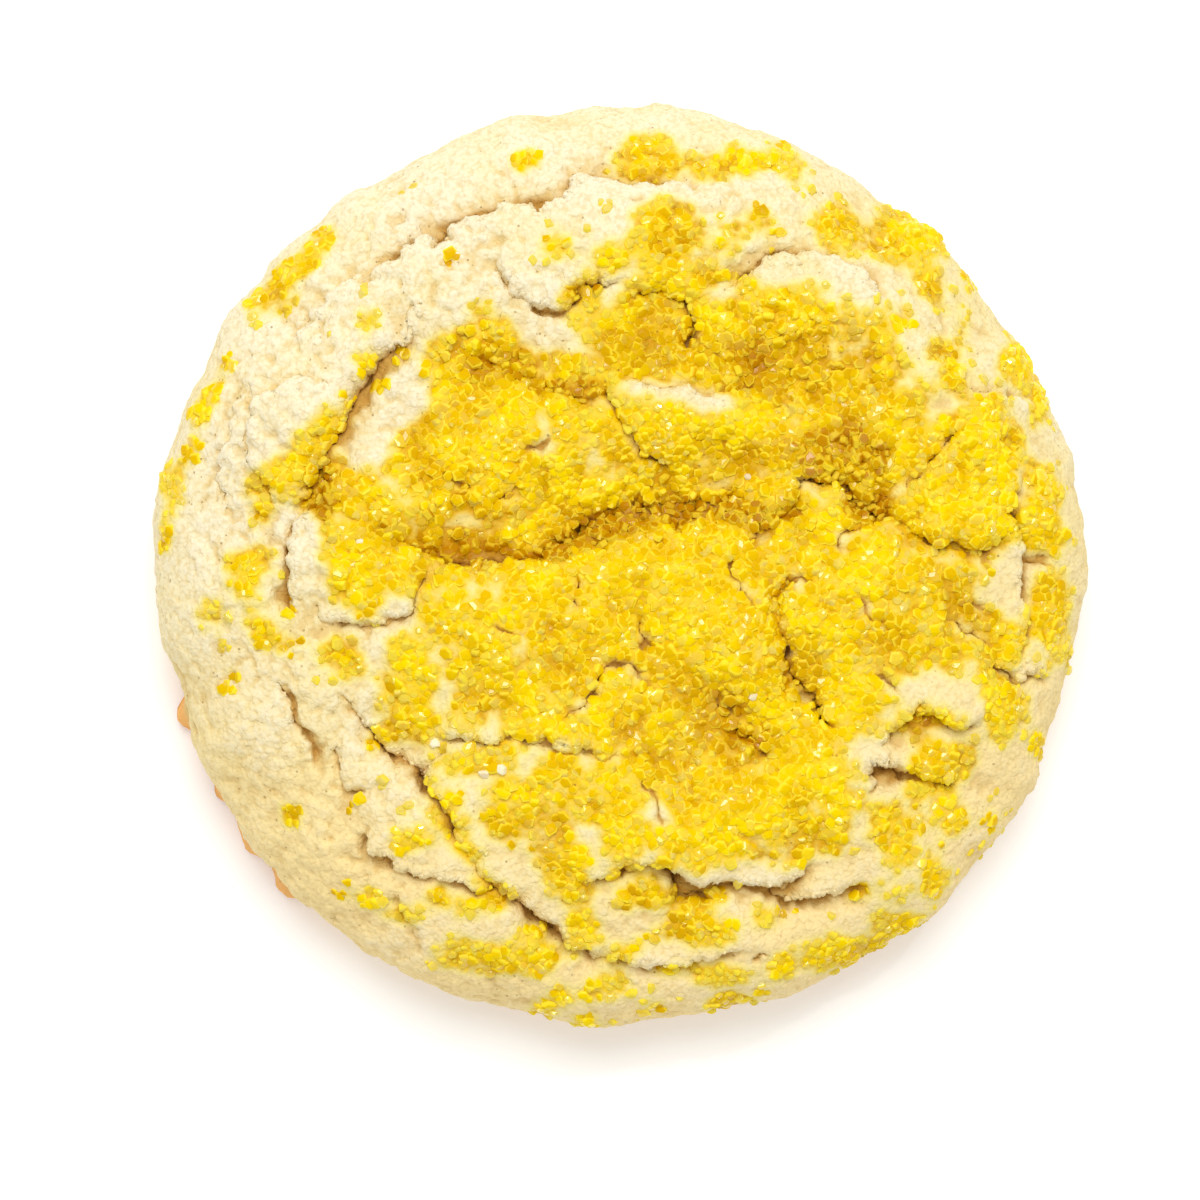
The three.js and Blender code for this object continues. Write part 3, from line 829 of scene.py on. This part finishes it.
class Material(Graph):
    """A new material, with its surface shader and places on the piece in millimetres."""

    def __init__(self, name):
        self.data = bpy.data.materials.new(name)
        self.data.use_nodes = True
        super().__init__(self.data.node_tree)
        self.tree.nodes.clear()
        here = self.node("ShaderNodeTexCoord", None, None, output="Object")
        self.place = self.scaled(here, 1 / MM)

    def attribute(self, name):
        return self.node("ShaderNodeAttribute", {"attribute_name": name}, None, output="Fac")

    def surface(self, values, height=None):
        """The surface shader, with a bump from a height in millimetres."""
        if height is not None:
            bump = {"Height": height, "Strength": 1.0, "Distance": MM}
            values["Normal"] = self.node("ShaderNodeBump", None, bump)
        shader = self.node("ShaderNodeBsdfPrincipled", None, values)
        self.node("ShaderNodeOutputMaterial", None, {"Surface": shader})
        return self.data


class Tree(Graph):
    """A new geometry tree, with named inputs."""

    KINDS = {"size": "NodeSocketFloat", "count": "NodeSocketInt", "finish": "NodeSocketMaterial",
             "collection": "NodeSocketCollection", "geometry": "NodeSocketGeometry"}

    def __init__(self, name, inputs):
        super().__init__(bpy.data.node_groups.new(name, "GeometryNodeTree"))
        for label, kind in {"Geometry": "geometry", **inputs}.items():
            self.tree.interface.new_socket(label, in_out="INPUT", socket_type=self.KINDS[kind])
        self.tree.interface.new_socket("Geometry", in_out="OUTPUT", socket_type="NodeSocketGeometry")
        self.inputs = self.tree.nodes.new("NodeGroupInput")

    def input(self, label):
        return Signal(self, self.inputs.outputs[label])

    def attribute(self, name):
        return self.node("GeometryNodeInputNamedAttribute", {"data_type": "FLOAT"}, {"Name": name})

    def random(self, low, high, seed):
        values = {2: low, 3: high, "Seed": seed}
        return self.node("FunctionNodeRandomValue", {"data_type": "FLOAT"}, values, output=1)

    def finish(self, geometry):
        """Ends the tree: instances made real, in the material of the input Finish."""
        real = self.node("GeometryNodeRealizeInstances", None, {"Geometry": geometry})
        values = {"Geometry": real, "Material": self.input("Finish")}
        dressed = self.node("GeometryNodeSetMaterial", None, values)
        self.node("NodeGroupOutput", None, {"Geometry": dressed})
        return self.tree


def shown(name, mesh):
    """A new object in the scene, for a smooth mesh."""
    mesh.shade_smooth()
    piece = bpy.data.objects.new(name, mesh)
    bpy.context.scene.collection.objects.link(piece)
    return piece


def grown(source, tree, inputs, name):
    """A new object that holds the plain mesh a tree makes from a source object."""
    modifier = source.modifiers.new(tree.name, "NODES")
    modifier.node_group = tree
    for item in tree.interface.items_tree:
        if item.in_out == "INPUT" and item.name in inputs:
            modifier[item.identifier] = inputs[item.name]
    depsgraph = bpy.context.evaluated_depsgraph_get()
    evaluated = source.evaluated_get(depsgraph)
    mesh = bpy.data.meshes.new_from_object(evaluated, preserve_all_data_layers=True, depsgraph=depsgraph)
    source.modifiers.remove(modifier)
    mesh.name = name
    return shown(name, mesh)


def meshed(name, points, faces, varies=None):
    """An object with a mesh of the given points, in metres, faces, and values that vary over its points."""
    mesh = bpy.data.meshes.new(name)
    mesh.from_pydata(points, [], faces)
    for label, values in (varies or {}).items():
        stored(mesh, label, values)
    return shown(name, mesh)


def discarded(piece):
    """Takes a helper object out of the file with its mesh."""
    mesh = piece.data
    bpy.data.objects.remove(piece)
    bpy.data.meshes.remove(mesh)


def places(mesh):
    """The mesh's points, in metres."""
    found = np.empty(3 * len(mesh.vertices), np.float32)
    mesh.vertices.foreach_get("co", found)
    return found.reshape(-1, 3).astype(float)


def hollows(mesh, rounds):
    """How far each point lies below a mesh smoothed a number of times, in millimetres."""
    count = len(mesh.vertices)
    normals = np.empty(3 * count, np.float32)
    mesh.vertices.foreach_get("normal", normals)
    edges = np.empty(2 * len(mesh.edges), np.int32)
    mesh.edges.foreach_get("vertices", edges)
    start, end = edges.reshape(-1, 2).T
    shares = np.bincount(edges, minlength=count)
    points = places(mesh)
    soft = points
    for _ in range(rounds):
        sums = [np.bincount(start, axis[end], count) + np.bincount(end, axis[start], count)
                for axis in soft.T]
        soft = np.stack(sums, 1) / shares[:, None]
    return ((soft - points) * normals.reshape(-1, 3)).sum(1) / MM


def evened(values):
    """Values with the middling one of each ring taken off, so that only the relief is left."""
    values = values.copy()
    for first, count, lead in rings()[0]:
        values[first:first + count] -= np.median(values[first:first + count])
    values[[0, -1]] = 0
    return values


def stored(mesh, name, values):
    """Keeps values that vary over the points of a mesh."""
    mesh.attributes.new(name, "FLOAT", "POINT").data.foreach_set("value", np.asarray(values, np.float32))


# The nodules of torn dough, large to small: width and height, as shares of the settings.
NODULES = ((1.0, 1.0), (0.55, 0.55), (0.33, 0.3))


def crumb_tree():
    """Roughens the dough: soft wrinkles all over it, and round nodules where it tore."""
    tree = Tree("Crumb", {"Wrinkle Size": "size", "Wrinkle Height": "size", "Nodule Size": "size",
                          "Nodule Height": "size", "Finish": "finish"})
    place = tree.node("GeometryNodeInputPosition")
    free = tree.attribute("free")
    torn = tree.attribute("torn")
    fine = tree.math("DIVIDE", 1.0, tree.input("Wrinkle Size"))
    wrinkle = {"Vector": place, "Scale": fine, "Detail": 3.0, "Roughness": 0.62}
    wrinkle = tree.node("ShaderNodeTexNoise", None, wrinkle) - 0.5
    shifted = tree.jittered(place, 0.7 / MM, 0.7 * MM)
    lumps = 0
    for share, height in NODULES:
        scale = tree.math("DIVIDE", 1 / share, tree.input("Nodule Size"))
        cell = tree.node("ShaderNodeTexVoronoi", {"feature": "F1"}, {"Vector": shifted, "Scale": scale})
        lumps = lumps + height * (0.45 - cell**2.0)
    height = wrinkle * tree.input("Wrinkle Height") + lumps * torn * tree.input("Nodule Height")
    offset = tree.scaled(tree.node("GeometryNodeInputNormal"), height * free)
    values = {"Geometry": tree.input("Geometry"), "Offset": offset}
    return tree.finish(tree.node("GeometryNodeSetPosition", None, values))


def strewn_tree(mask, shapes):
    """Strews shapes over the dough where an attribute says, laid on it, sunk in and turned at random."""
    sizes = ("Spacing", "Density", "Smallest", "Largest", "Flatness", "Sink", "Tilt")
    tree = Tree("Strewn", {"Shapes": "collection", **dict.fromkeys(sizes, "size"), "Seed": "count",
                           "Finish": "finish"})
    seed = tree.input("Seed")
    spots = {"Mesh": tree.input("Geometry"), "Distance Min": tree.input("Spacing"),
             "Density Max": tree.input("Density"), "Density Factor": tree.attribute(mask), "Seed": seed}
    spots = tree.node("GeometryNodeDistributePointsOnFaces", {"distribute_method": "POISSON"}, spots)
    found = spots.socket.node.outputs
    points, normal, way = (Signal(tree, found[label]) for label in ("Points", "Normal", "Rotation"))
    size = tree.random(0.0, 1.0, seed + 4)
    size = tree.input("Smallest") + (tree.input("Largest") - tree.input("Smallest")) * size
    sunk = tree.scaled(normal, (0 - tree.input("Sink")) * size * tree.random(0.5, 1.5, seed + 1))
    points = tree.node("GeometryNodeSetPosition", None, {"Geometry": points, "Offset": sunk})
    shapes_in = {"Collection": tree.input("Shapes"), "Separate Children": True, "Reset Children": True}
    picked = tree.node("GeometryNodeCollectionInfo", None, shapes_in)
    pick = {4: 0, 5: shapes - 1, "Seed": seed + 2}
    pick = tree.node("FunctionNodeRandomValue", {"data_type": "INT"}, pick, output=2)
    tilt = tree.input("Tilt")
    low = tree.node("ShaderNodeCombineXYZ", None, {0: 0 - tilt, 1: 0 - tilt})
    high = tree.node("ShaderNodeCombineXYZ", None, {0: tilt, 1: tilt, 2: TURN})
    turn = {0: low, 1: high, "Seed": seed + 3}
    turn = tree.node("FunctionNodeRandomValue", {"data_type": "FLOAT_VECTOR"}, turn)
    turn = tree.node("FunctionNodeRotateRotation", {"rotation_space": "LOCAL"}, {0: way, 1: turn})
    sides = tree.node("ShaderNodeCombineXYZ", None, {0: size, 1: size, 2: size * tree.input("Flatness")})
    grains = {"Points": points, "Instance": picked, "Pick Instance": True, "Instance Index": pick,
              "Rotation": turn, "Scale": sides}
    grains = tree.node("GeometryNodeInstanceOnPoints", None, grains)
    tint = {"Geometry": grains, "Name": "tint", "Value": tree.random(0.0, 1.0, seed + 5)}
    each = {"data_type": "FLOAT", "domain": "INSTANCE"}
    return tree.finish(tree.node("GeometryNodeStoreNamedAttribute", each, tint))


# Finishes


def dough_finish(settings):
    """Pale baked dough: matt, finely pitted, stained by the sugar, browned at the foot, and painted with
    shade and light.
    """
    finish = Material("dough")
    place = finish.place
    soft = finish.noise(place, 9.0, 2.0)
    crumb = finish.noise(place, 0.5, 3.0, 0.7)
    shifted = finish.jittered(place, 1.4, 0.5)
    grains = finish.cells(shifted, 0.8)
    grit = finish.cells(shifted, 0.42)
    domes = grains * grains * 0.35 + grit * grit * 0.5
    names = ("hollow", "groove", "soak", "bake", "golden", "chalky")
    hollow, groove, soak, bake, golden, chalky = map(finish.attribute, names)
    pits = 1 - finish.cells(place, 0.9).rise(0.06, 0.16)
    pits = pits * (finish.noise(place, 2.5, 1.0) + hollow * 0.12 + groove * 0.3).rise(0.5, 0.64)
    # Yellower in the hollows and small dimples, partly as painted shade, and on the yellower side; whiter
    # where painted light falls on the upper left.
    yellower = hollow * 0.12 + soft * 1.6 + crumb * 0.5 + domes * 0.5 + golden * 0.3 - chalky * 0.35
    # Where soaked dough turns to syrup: in the hollows as painted shade, and in the melted patches.
    sunk = hollow.rise(-0.3, 1.8) * 0.6 + finish.attribute("amber") * 0.7
    browned = bake * (crumb * 0.5 + 0.75)
    colour = finish.layered(settings.butter, (
        (golden, settings.gilt),
        (1 - yellower.rise(0.35, 1.55), settings.cream),
        # Painted shade in the dimples of the bump, in the hollows (less where painted light falls) and in
        # the grooves.
        (domes.rise(0.15, 0.5) * 0.34, settings.painted_shade),
        (hollow.rise(0.2, 2.2) * (0.85 - chalky * 0.35), settings.painted_shade),
        (groove.rise(0.0, 0.8) * 0.7, settings.painted_shade),
        (soak.rise(0.05, 0.7) * 0.8, settings.blush),
        (soak.rise(0.45, 0.95), settings.stain),
        (soak.rise(0.45, 0.95) * sunk, settings.syrup),
        # Painted shade deep in a fold.
        (groove.rise(0.3, 0.9) * 0.85, settings.deep),
        (bake.rise(0.0, 0.55), settings.golden),
        (browned.rise(0.6, 1.2), settings.brown),
        (pits * 0.6, settings.pit),
    ))
    height = domes * -0.19 + crumb * 0.08 + pits * -0.07
    values = {"Base Color": colour, "Roughness": 0.82 - soak * 0.4, "Specular IOR Level": 0.15, "IOR": 1.45}
    return finish.surface(values, height)


def sugar_finish(name, deep, bright, edge, melted, clarity):
    """Glassy sugar: deep in a crystal's faces, painted lighter at its edges, and darker where melted and,
    as painted shade, in hollows.
    """
    finish = Material(name)
    tint = finish.attribute("tint")
    rim = finish.attribute("rim")
    slow = finish.noise(finish.place, 4.0, 1.0).rise(0.35, 0.65)
    # Darker in the hollows as painted shade, and where the sugar melted.
    low = finish.attribute("hollow").rise(-0.3, 2.0) * 0.6 + finish.attribute("amber") * 0.8
    colour = finish.layered(deep, (
        (tint * 0.3 + slow * 0.7, bright),
        (low, melted),
        # Painted light along the grain's edges, standing in for light that passes through it, less in the
        # hollows.
        (rim.rise(0.25, 0.9) * (0.8 - low * 0.4), edge),
    ))
    glints = tint.rise(0.7, 0.76) * (0.8 - low * 0.6)
    values = {"Base Color": colour, "Roughness": 0.12, "IOR": 1.5, "Specular IOR Level": 0.05,
              "Coat Weight": glints, "Coat Roughness": 0.08, "Coat IOR": 1.8}
    if clarity:
        values["Alpha"] = 1 - clarity * (1 - 0.6 * rim)
    return finish.surface(values)


# The sugar

CRYSTAL_SHAPES = 8
CRYSTAL_SIDES = 6
# A crystal's outline from its top to its bottom: share of its radius, level, and how near it is to the rim.
CRYSTAL_OUTLINE = ((0.66, 0.46, 0.3), (1.0, 0.22, 1.0), (0.94, -0.26, 1.0))
CRYSTAL_POINTS = len(CRYSTAL_OUTLINE) * CRYSTAL_SIDES + 2


def crystal(number):
    """A crystal one unit across: a rounded block with many sides, uneven all round."""
    form = np.random.default_rng(100 + number)
    turn = TURN * (np.arange(CRYSTAL_SIDES) + form.uniform(-0.28, 0.28, CRYSTAL_SIDES)) / CRYSTAL_SIDES
    reach = 0.5 * form.uniform(0.82, 1.12, CRYSTAL_SIDES)
    long, wide = form.uniform(0.85, 1.2, 2)
    points, rim, faces = [(0, 0, 0.52)], [0.0], []
    for share, level, near in CRYSTAL_OUTLINE:
        for angle, radius in zip(turn, reach):
            x, y = long * share * radius * math.cos(angle), wide * share * radius * math.sin(angle)
            points.append((x, y, level))
            rim.append(near)
    points.append((0, 0, -0.5))
    rim.append(0.0)
    for i in range(CRYSTAL_SIDES):
        j = (i + 1) % CRYSTAL_SIDES
        faces.append((0, 1 + i, 1 + j))
        for row in range(len(CRYSTAL_OUTLINE) - 1):
            upper, lower = 1 + row * CRYSTAL_SIDES, 1 + (row + 1) * CRYSTAL_SIDES
            faces += [(upper + i, lower + i, upper + j), (upper + j, lower + i, lower + j)]
        faces.append((len(points) - 1, lower + j, lower + i))
    points = np.array(points) + form.normal(0, 0.025, (len(points), 3))
    mesh = bpy.data.meshes.new(f"crystal_{number}")
    mesh.from_pydata(points, [], faces)
    mesh.attributes.new("rim", "FLOAT", "POINT").data.foreach_set("value", rim)
    return bpy.data.objects.new(mesh.name, mesh)


CRUMB_SHAPES = 4


def crumb(number):
    """A rounded lump of dough, one unit across."""
    form = np.random.default_rng(200 + number)
    work = bmesh.new()
    bmesh.ops.create_uvsphere(work, u_segments=6, v_segments=4, radius=0.5)
    for vert in work.verts:
        vert.co = Vector(np.array(vert.co) * form.uniform(0.7, 1.3) * form.uniform(0.85, 1.15, 3))
    bmesh.ops.triangulate(work, faces=work.faces[:])
    work.verts.index_update()
    points = [tuple(vert.co) for vert in work.verts]
    # sorted, because the cut faces come in another order on each run
    faces = sorted(tuple(vert.index for vert in face.verts) for face in work.faces)
    work.free()
    mesh = bpy.data.meshes.new(f"crumb_{number}")
    mesh.from_pydata(points, [], faces)
    return bpy.data.objects.new(mesh.name, mesh)


def gathered_up(name, shapes):
    """A collection of shapes to pick from."""
    group = bpy.data.collections.new(name)
    for shape in shapes:
        group.objects.link(shape)
    return group


def put_away(group):
    """Takes a collection of shapes out of the file."""
    for shape in list(group.objects):
        discarded(shape)
    bpy.data.collections.remove(group)


def hex_colour(text):
    """Linear colour from a screen colour written as six hexadecimal digits."""
    levels = [int(text[i:i + 2], 16) / 255 for i in (0, 2, 4)]
    return tuple(level / 12.92 if level <= 0.04045 else ((level + 0.055) / 1.055) ** 2.4
                 for level in levels)


def swatch(name, description, text):
    return bpy.props.FloatVectorProperty(name=name, description=description, default=hex_colour(text),
                                         subtype="COLOR", size=3, min=0, max=1)


def length(name, description, default):
    return bpy.props.FloatProperty(name=name, description=description, default=default * MM, min=0,
                                   unit="LENGTH", subtype="DISTANCE", precision=5)


class DoughSettings(bpy.types.PropertyGroup):
    """The dough's relief and colours."""

    crease_depth: bpy.props.FloatProperty(name="Crease Depth", description="Factor on folds and swells",
                                          default=1.0, min=0, max=2, subtype="FACTOR")
    wrinkle_size: length("Wrinkle Size", "Width of the soft wrinkles", 3.2)
    wrinkle_height: length("Wrinkle Height", "Height of the soft wrinkles", 0.75)
    nodule_size: length("Nodule Size", "Width of the nodules where the dough tore", 1.5)
    nodule_height: length("Nodule Height", "Height of those nodules", 0.55)
    cream: swatch("Cream", "Dough where it is palest", "f6eac8")
    butter: swatch("Butter", "Dough where it is yellower", "f2e0a4")
    # Gilt: the yellower side, partly its baked colour and partly painted shade on the side turned from the
    # light.
    gilt: swatch("Gilt", "Dough of the side that baked golden", "f9df9e")
    # Painted shade for the dough's hollows, dimples and grooves.
    painted_shade: swatch("Painted Shade", "Dough in its hollows", "dfbe78")
    # Painted shade deep in a fold.
    deep: swatch("Deep", "Dough deep in a fold", "c2913a")
    pit: swatch("Pit", "Floor of a pinhole", "a87a35")
    blush: swatch("Blush", "Dough near the sugar", "f6e484")
    stain: swatch("Stain", "Dough soaked with the sugar's colour", "f4cc1c")
    # Syrup: soaked dough darkened in the hollows as painted shade, and in the melted patches.
    syrup: swatch("Syrup", "Soaked dough in the hollows", "c48400")
    golden: swatch("Golden", "Dough that began to brown", "fabd70")
    brown: swatch("Brown", "Browned foot and underside", "c47c36")


class SugarSettings(bpy.types.PropertyGroup):
    """The sugar's grain and colours."""

    spacing: length("Spacing", "Least distance between the middles of packed grains", 0.62)
    smallest: length("Smallest Grain", "Width of the smallest grain", 0.7)
    largest: length("Largest Grain", "Width of the largest grain", 1.3)
    seed: bpy.props.IntProperty(name="Seed", description="Start of the random scatter", default=11)
    lemon: swatch("Lemon", "Bright packed grains", "fbdc00")
    # Gold also darkens the pale grains in the hollows, as painted shade, and where they melted.
    gold: swatch("Gold", "Deeper packed grains", "e4b400")
    # Amber also darkens the yellow grains in the hollows, as painted shade, and where they melted.
    amber: swatch("Amber", "Grains that melted in the hollows", "bc8000")
    honey: swatch("Honey", "The lighter grains among them", "d89c00")
    pale: swatch("Pale", "Grains that lost most of their colour", "fae26c")
    # The bright tone of the pale grains, and the painted light along the edges of the yellow grains.
    bright_and_rim_light: swatch("Bright and Rim Light", "Worn edges of the yellow grains", "ffe93c")
    clear: swatch("Clear", "Crystals that took no colour", "f8f0cc")


class CrumbSettings(bpy.types.PropertyGroup):
    """The crumbs of torn dough."""

    spacing: length("Spacing", "Least distance between the middles of crumbs", 0.42)
    smallest: length("Smallest Crumb", "Width of the smallest crumb", 0.35)
    largest: length("Largest Crumb", "Width of the largest crumb", 0.85)
    seed: bpy.props.IntProperty(name="Seed", description="Start of the random scatter", default=5)


class StageSettings(bpy.types.PropertyGroup):
    """The floor, the lights and the camera."""

    floor: swatch("Floor", "Colour of the floor", "fafafa")
    sky: bpy.props.FloatProperty(name="Sky", description="Strength of the even light all round",
                                 default=0.67, min=0)
    key: bpy.props.FloatProperty(name="Key", description="Power of the large soft light", default=3.5,
                                 min=0, unit="POWER")
    lens: bpy.props.FloatProperty(name="Lens", description="Focal length", default=160, min=20,
                                  unit="CAMERA")


class CookieOperator:
    """What the operators share."""

    bl_options = {"REGISTER", "UNDO"}


# How the hollows are found: rounds of smoothing, share in the sum, and the depth that counts as one.
HOLLOWS = ((4, 0.15, 0.05), (50, 0.45, 0.2), (260, 0.6, 0.45))
DEEPEST = 2.5


class COOKIE_OT_dough(CookieOperator, bpy.types.Operator):
    """Shape the dough, with its folds, cracks and crumb"""

    bl_idname = "cookie.dough"
    bl_label = "Bake the Dough"

    def execute(self, context):
        settings = context.scene.cookie_dough
        points, faces, varies = shaped(settings)
        plain = meshed("plain", points * MM, faces, varies)
        inputs = {"Wrinkle Size": settings.wrinkle_size, "Wrinkle Height": settings.wrinkle_height,
                  "Nodule Size": settings.nodule_size, "Nodule Height": settings.nodule_height,
                  "Finish": dough_finish(settings)}
        baked = grown(plain, crumb_tree(), inputs, "baked_dough")
        discarded(plain)
        # How far each point lies in a hollow; the finishes lay painted shade there.
        hollow = sum(share * hollows(baked.data, rounds) / depth for rounds, share, depth in HOLLOWS)
        stored(baked.data, "hollow", np.clip(evened(hollow), -DEEPEST, DEEPEST))
        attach(baked, "root")
        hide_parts("cookie")
        return {"FINISHED"}


# What is strewn: mask on the dough, spacing as a share of the set spacing, size as a share of the set
# sizes, flatness, sink as a share of the grain, tilt, and the names of its deep and bright colours.
STREWN = {
    "packed_sugar": ("cover", 1.0, 1.12, 0.68, 0.17, 0.45, "gold", "lemon"),
    "pale_sugar": ("dusting", 1.0, 0.95, 0.85, 0.2, 0.8, "pale", "bright_and_rim_light"),
    "heaped_sugar": ("heap", 2.2, 1.0, 0.7, -0.15, 0.8, "gold", "lemon"),
    "amber_sugar": ("syrup", 1.25, 1.0, 0.7, -0.1, 1.0, "amber", "honey"),
    "clear_sugar": ("clear", 2.4, 0.9, 0.7, -0.05, 0.6, "clear", "clear"),
}

# Spots tried for each square of the spacing.
SUGAR_TRIES = 4
CRUMB_TRIES = 3

# How clear a pale grain is in the middle of its faces.
PALE_CLARITY = 0.4

# How the sugar's colour soaks in: how many grains count at each spot, and the distance from them up to
# which the dough is fully stained, and beyond which it isn't.
SOAK_GRAINS = 6
SOAK_FULL, SOAK_END = 0.5, 2.1


class COOKIE_OT_sugar(CookieOperator, bpy.types.Operator):
    """Strew the baked dough with sugar, and let its colour soak in"""

    bl_idname = "cookie.sugar"
    bl_label = "Strew the Sugar"

    def execute(self, context):
        settings = context.scene.cookie_sugar
        dough = bpy.data.objects["baked_dough"]
        shapes = gathered_up("crystals", [crystal(number) for number in range(CRYSTAL_SHAPES)])
        middles = []
        for number, (name, strewn) in enumerate(STREWN.items()):
            mask, spread, scale, flatness, sink, tilt, deep, bright = strewn
            clarity = PALE_CLARITY if deep == "pale" else 0
            finish = sugar_finish(name, getattr(settings, deep), getattr(settings, bright),
                                  settings.clear if deep == "clear" else settings.bright_and_rim_light,
                                  settings.gold if clarity else settings.amber, clarity)
            gap = settings.spacing * spread
            inputs = {"Shapes": shapes, "Spacing": gap, "Density": SUGAR_TRIES / gap**2,
                      "Smallest": settings.smallest * scale, "Largest": settings.largest * scale,
                      "Flatness": flatness, "Sink": sink, "Tilt": tilt, "Seed": settings.seed + 10 * number,
                      "Finish": finish}
            grains = grown(dough, strewn_tree(mask, CRYSTAL_SHAPES), inputs, name)
            grains.data.shade_flat()
            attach(grains, "root")
            if deep != "clear":
                middles.append(places(grains.data).reshape(-1, CRYSTAL_POINTS, 3).mean(1))
        put_away(shapes)
        self.soak(dough.data, np.vstack(middles))
        return {"FINISHED"}

    def soak(self, mesh, middles):
        """Stains the dough round every coloured grain, and widest round a cluster."""
        tree = KDTree(len(middles))
        for i, middle in enumerate(middles):
            tree.insert(middle, i)
        tree.balance()
        near = [tree.find_n(place, SOAK_GRAINS) for place in places(mesh)]
        gaps = np.array([[distance for _, _, distance in found] for found in near]) / MM
        stored(mesh, "soak", 1 - smooth(0.5 * gaps[:, 0] + 0.5 * gaps[:, -1], SOAK_FULL, SOAK_END))


class COOKIE_OT_crumbs(CookieOperator, bpy.types.Operator):
    """Set crumbs of dough along the torn lips"""

    bl_idname = "cookie.crumbs"
    bl_label = "Add the Crumbs"

    def execute(self, context):
        settings = context.scene.cookie_crumbs
        dough = bpy.data.objects["baked_dough"]
        shapes = gathered_up("crumbs", [crumb(number) for number in range(CRUMB_SHAPES)])
        inputs = {"Shapes": shapes, "Spacing": settings.spacing,
                  "Density": CRUMB_TRIES / settings.spacing**2, "Smallest": settings.smallest,
                  "Largest": settings.largest, "Flatness": 0.75, "Sink": 0.3, "Tilt": 0.5,
                  "Seed": settings.seed, "Finish": dough.active_material}
        crumbs = grown(dough, strewn_tree("crumbs", CRUMB_SHAPES), inputs, "dough_crumbs")
        put_away(shapes)
        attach(crumbs, "root")
        return {"FINISHED"}


# Half the width of the floor, in metres.
FLOOR_HALF = 3.0

# The lights: place and width in metres, and share of the key light's power.
LIGHTS = {"key": ((-0.06, 0.33, 0.75), 0.5, 1), "glint": ((0.25, 0.35, 0.7), 0.04, 0.12)}

# The camera: its sensor's width, the width of the frame at the belly in metres, its lean in degrees, the
# side that it leans to, and the point it looks at.
SENSOR = 36.0
FRAME_WIDTH = 0.11367
CAMERA_LEAN = 4.0
CAMERA_SIDE = 213.0
AIM = (-2.08, -3.22, BELLY)


class COOKIE_OT_stage(CookieOperator, bpy.types.Operator):
    """Set out the floor, the lights and the camera"""

    bl_idname = "cookie.stage"
    bl_label = "Set the Stage"

    def execute(self, context):
        settings = context.scene.cookie_stage
        corners = [(x * FLOOR_HALF, y * FLOOR_HALF, 0) for x, y in ((-1, -1), (1, -1), (1, 1), (-1, 1))]
        floor = meshed("floor", corners, [(0, 1, 2, 3)])
        values = {"Base Color": (*settings.floor, 1), "Roughness": 0.7, "Emission Color": (1, 1, 1, 1),
                  "Emission Strength": 0.15}
        floor.data.materials.append(Material("floor").surface(values))
        self.lit(context.scene, settings)
        self.filmed(context.scene, settings)
        return {"FINISHED"}

    def lit(self, scene, settings):
        """An even white world, with a large soft light and a small one for the glints."""
        world = bpy.data.worlds.new("studio")
        world.use_nodes = True
        sky = world.node_tree.nodes["Background"].inputs
        sky["Color"].default_value = (1, 1, 1, 1)
        sky["Strength"].default_value = settings.sky
        scene.world = world
        for name, (place, size, share) in LIGHTS.items():
            light = bpy.data.lights.new(name, "AREA")
            light.shape = "DISK"
            light.size = size
            light.energy = settings.key * share
            lamp = bpy.data.objects.new(name, light)
            lamp.location = place
            lamp.rotation_euler = Vector(place).to_track_quat("Z", "Y").to_euler()
            scene.collection.objects.link(lamp)

    def filmed(self, scene, settings):
        """A camera almost straight above, leaning a little to the foot that shows at the lower left."""
        camera = bpy.data.cameras.new("camera")
        camera.lens = settings.lens
        camera.sensor_width = SENSOR
        away = settings.lens / SENSOR * FRAME_WIDTH
        lean, side = math.radians(CAMERA_LEAN), math.radians(CAMERA_SIDE)
        back = Vector((math.sin(lean) * math.cos(side), math.sin(lean) * math.sin(side), math.cos(lean)))
        right = Vector((0, 1, 0)).cross(back).normalized()
        shot = Matrix((right, back.cross(right), back)).transposed().to_4x4()
        shot.translation = Vector(AIM) * MM + back * away
        viewer = bpy.data.objects.new("camera", camera)
        viewer.matrix_world = shot
        scene.collection.objects.link(viewer)
        scene.camera = viewer
        scene.view_settings.view_transform = "Standard"


class COOKIE_PT_panel(bpy.types.Panel):
    """The cookie's steps in order, each with its settings"""

    bl_label = "Sugar Cookie"
    bl_idname = "COOKIE_PT_panel"
    bl_space_type = "VIEW_3D"
    bl_region_type = "UI"
    bl_category = "Cookie"

    def draw(self, context):
        for operator, group in STEPS:
            settings = getattr(context.scene, group)
            box = self.layout.box()
            box.operator(operator.bl_idname)
            for name in settings.__annotations__:
                box.prop(settings, name)


STEPS = (
    (COOKIE_OT_dough, "cookie_dough"),
    (COOKIE_OT_sugar, "cookie_sugar"),
    (COOKIE_OT_crumbs, "cookie_crumbs"),
    (COOKIE_OT_stage, "cookie_stage"),
)
GROUPS = {"cookie_dough": DoughSettings, "cookie_sugar": SugarSettings, "cookie_crumbs": CrumbSettings,
          "cookie_stage": StageSettings}
CLASSES = (*GROUPS.values(), *(operator for operator, group in STEPS), COOKIE_PT_panel)


def register():
    for kind in CLASSES:
        bpy.utils.register_class(kind)
    for name, group in GROUPS.items():
        setattr(bpy.types.Scene, name, bpy.props.PointerProperty(type=group))


def unregister():
    for name in GROUPS:
        delattr(bpy.types.Scene, name)
    for kind in reversed(CLASSES):
        bpy.utils.unregister_class(kind)


def main():
    register()
    bpy.ops.cookie.dough()
    bpy.ops.cookie.sugar()
    bpy.ops.cookie.crumbs()
    bpy.ops.cookie.stage()


if __name__ == "__main__":
    main()
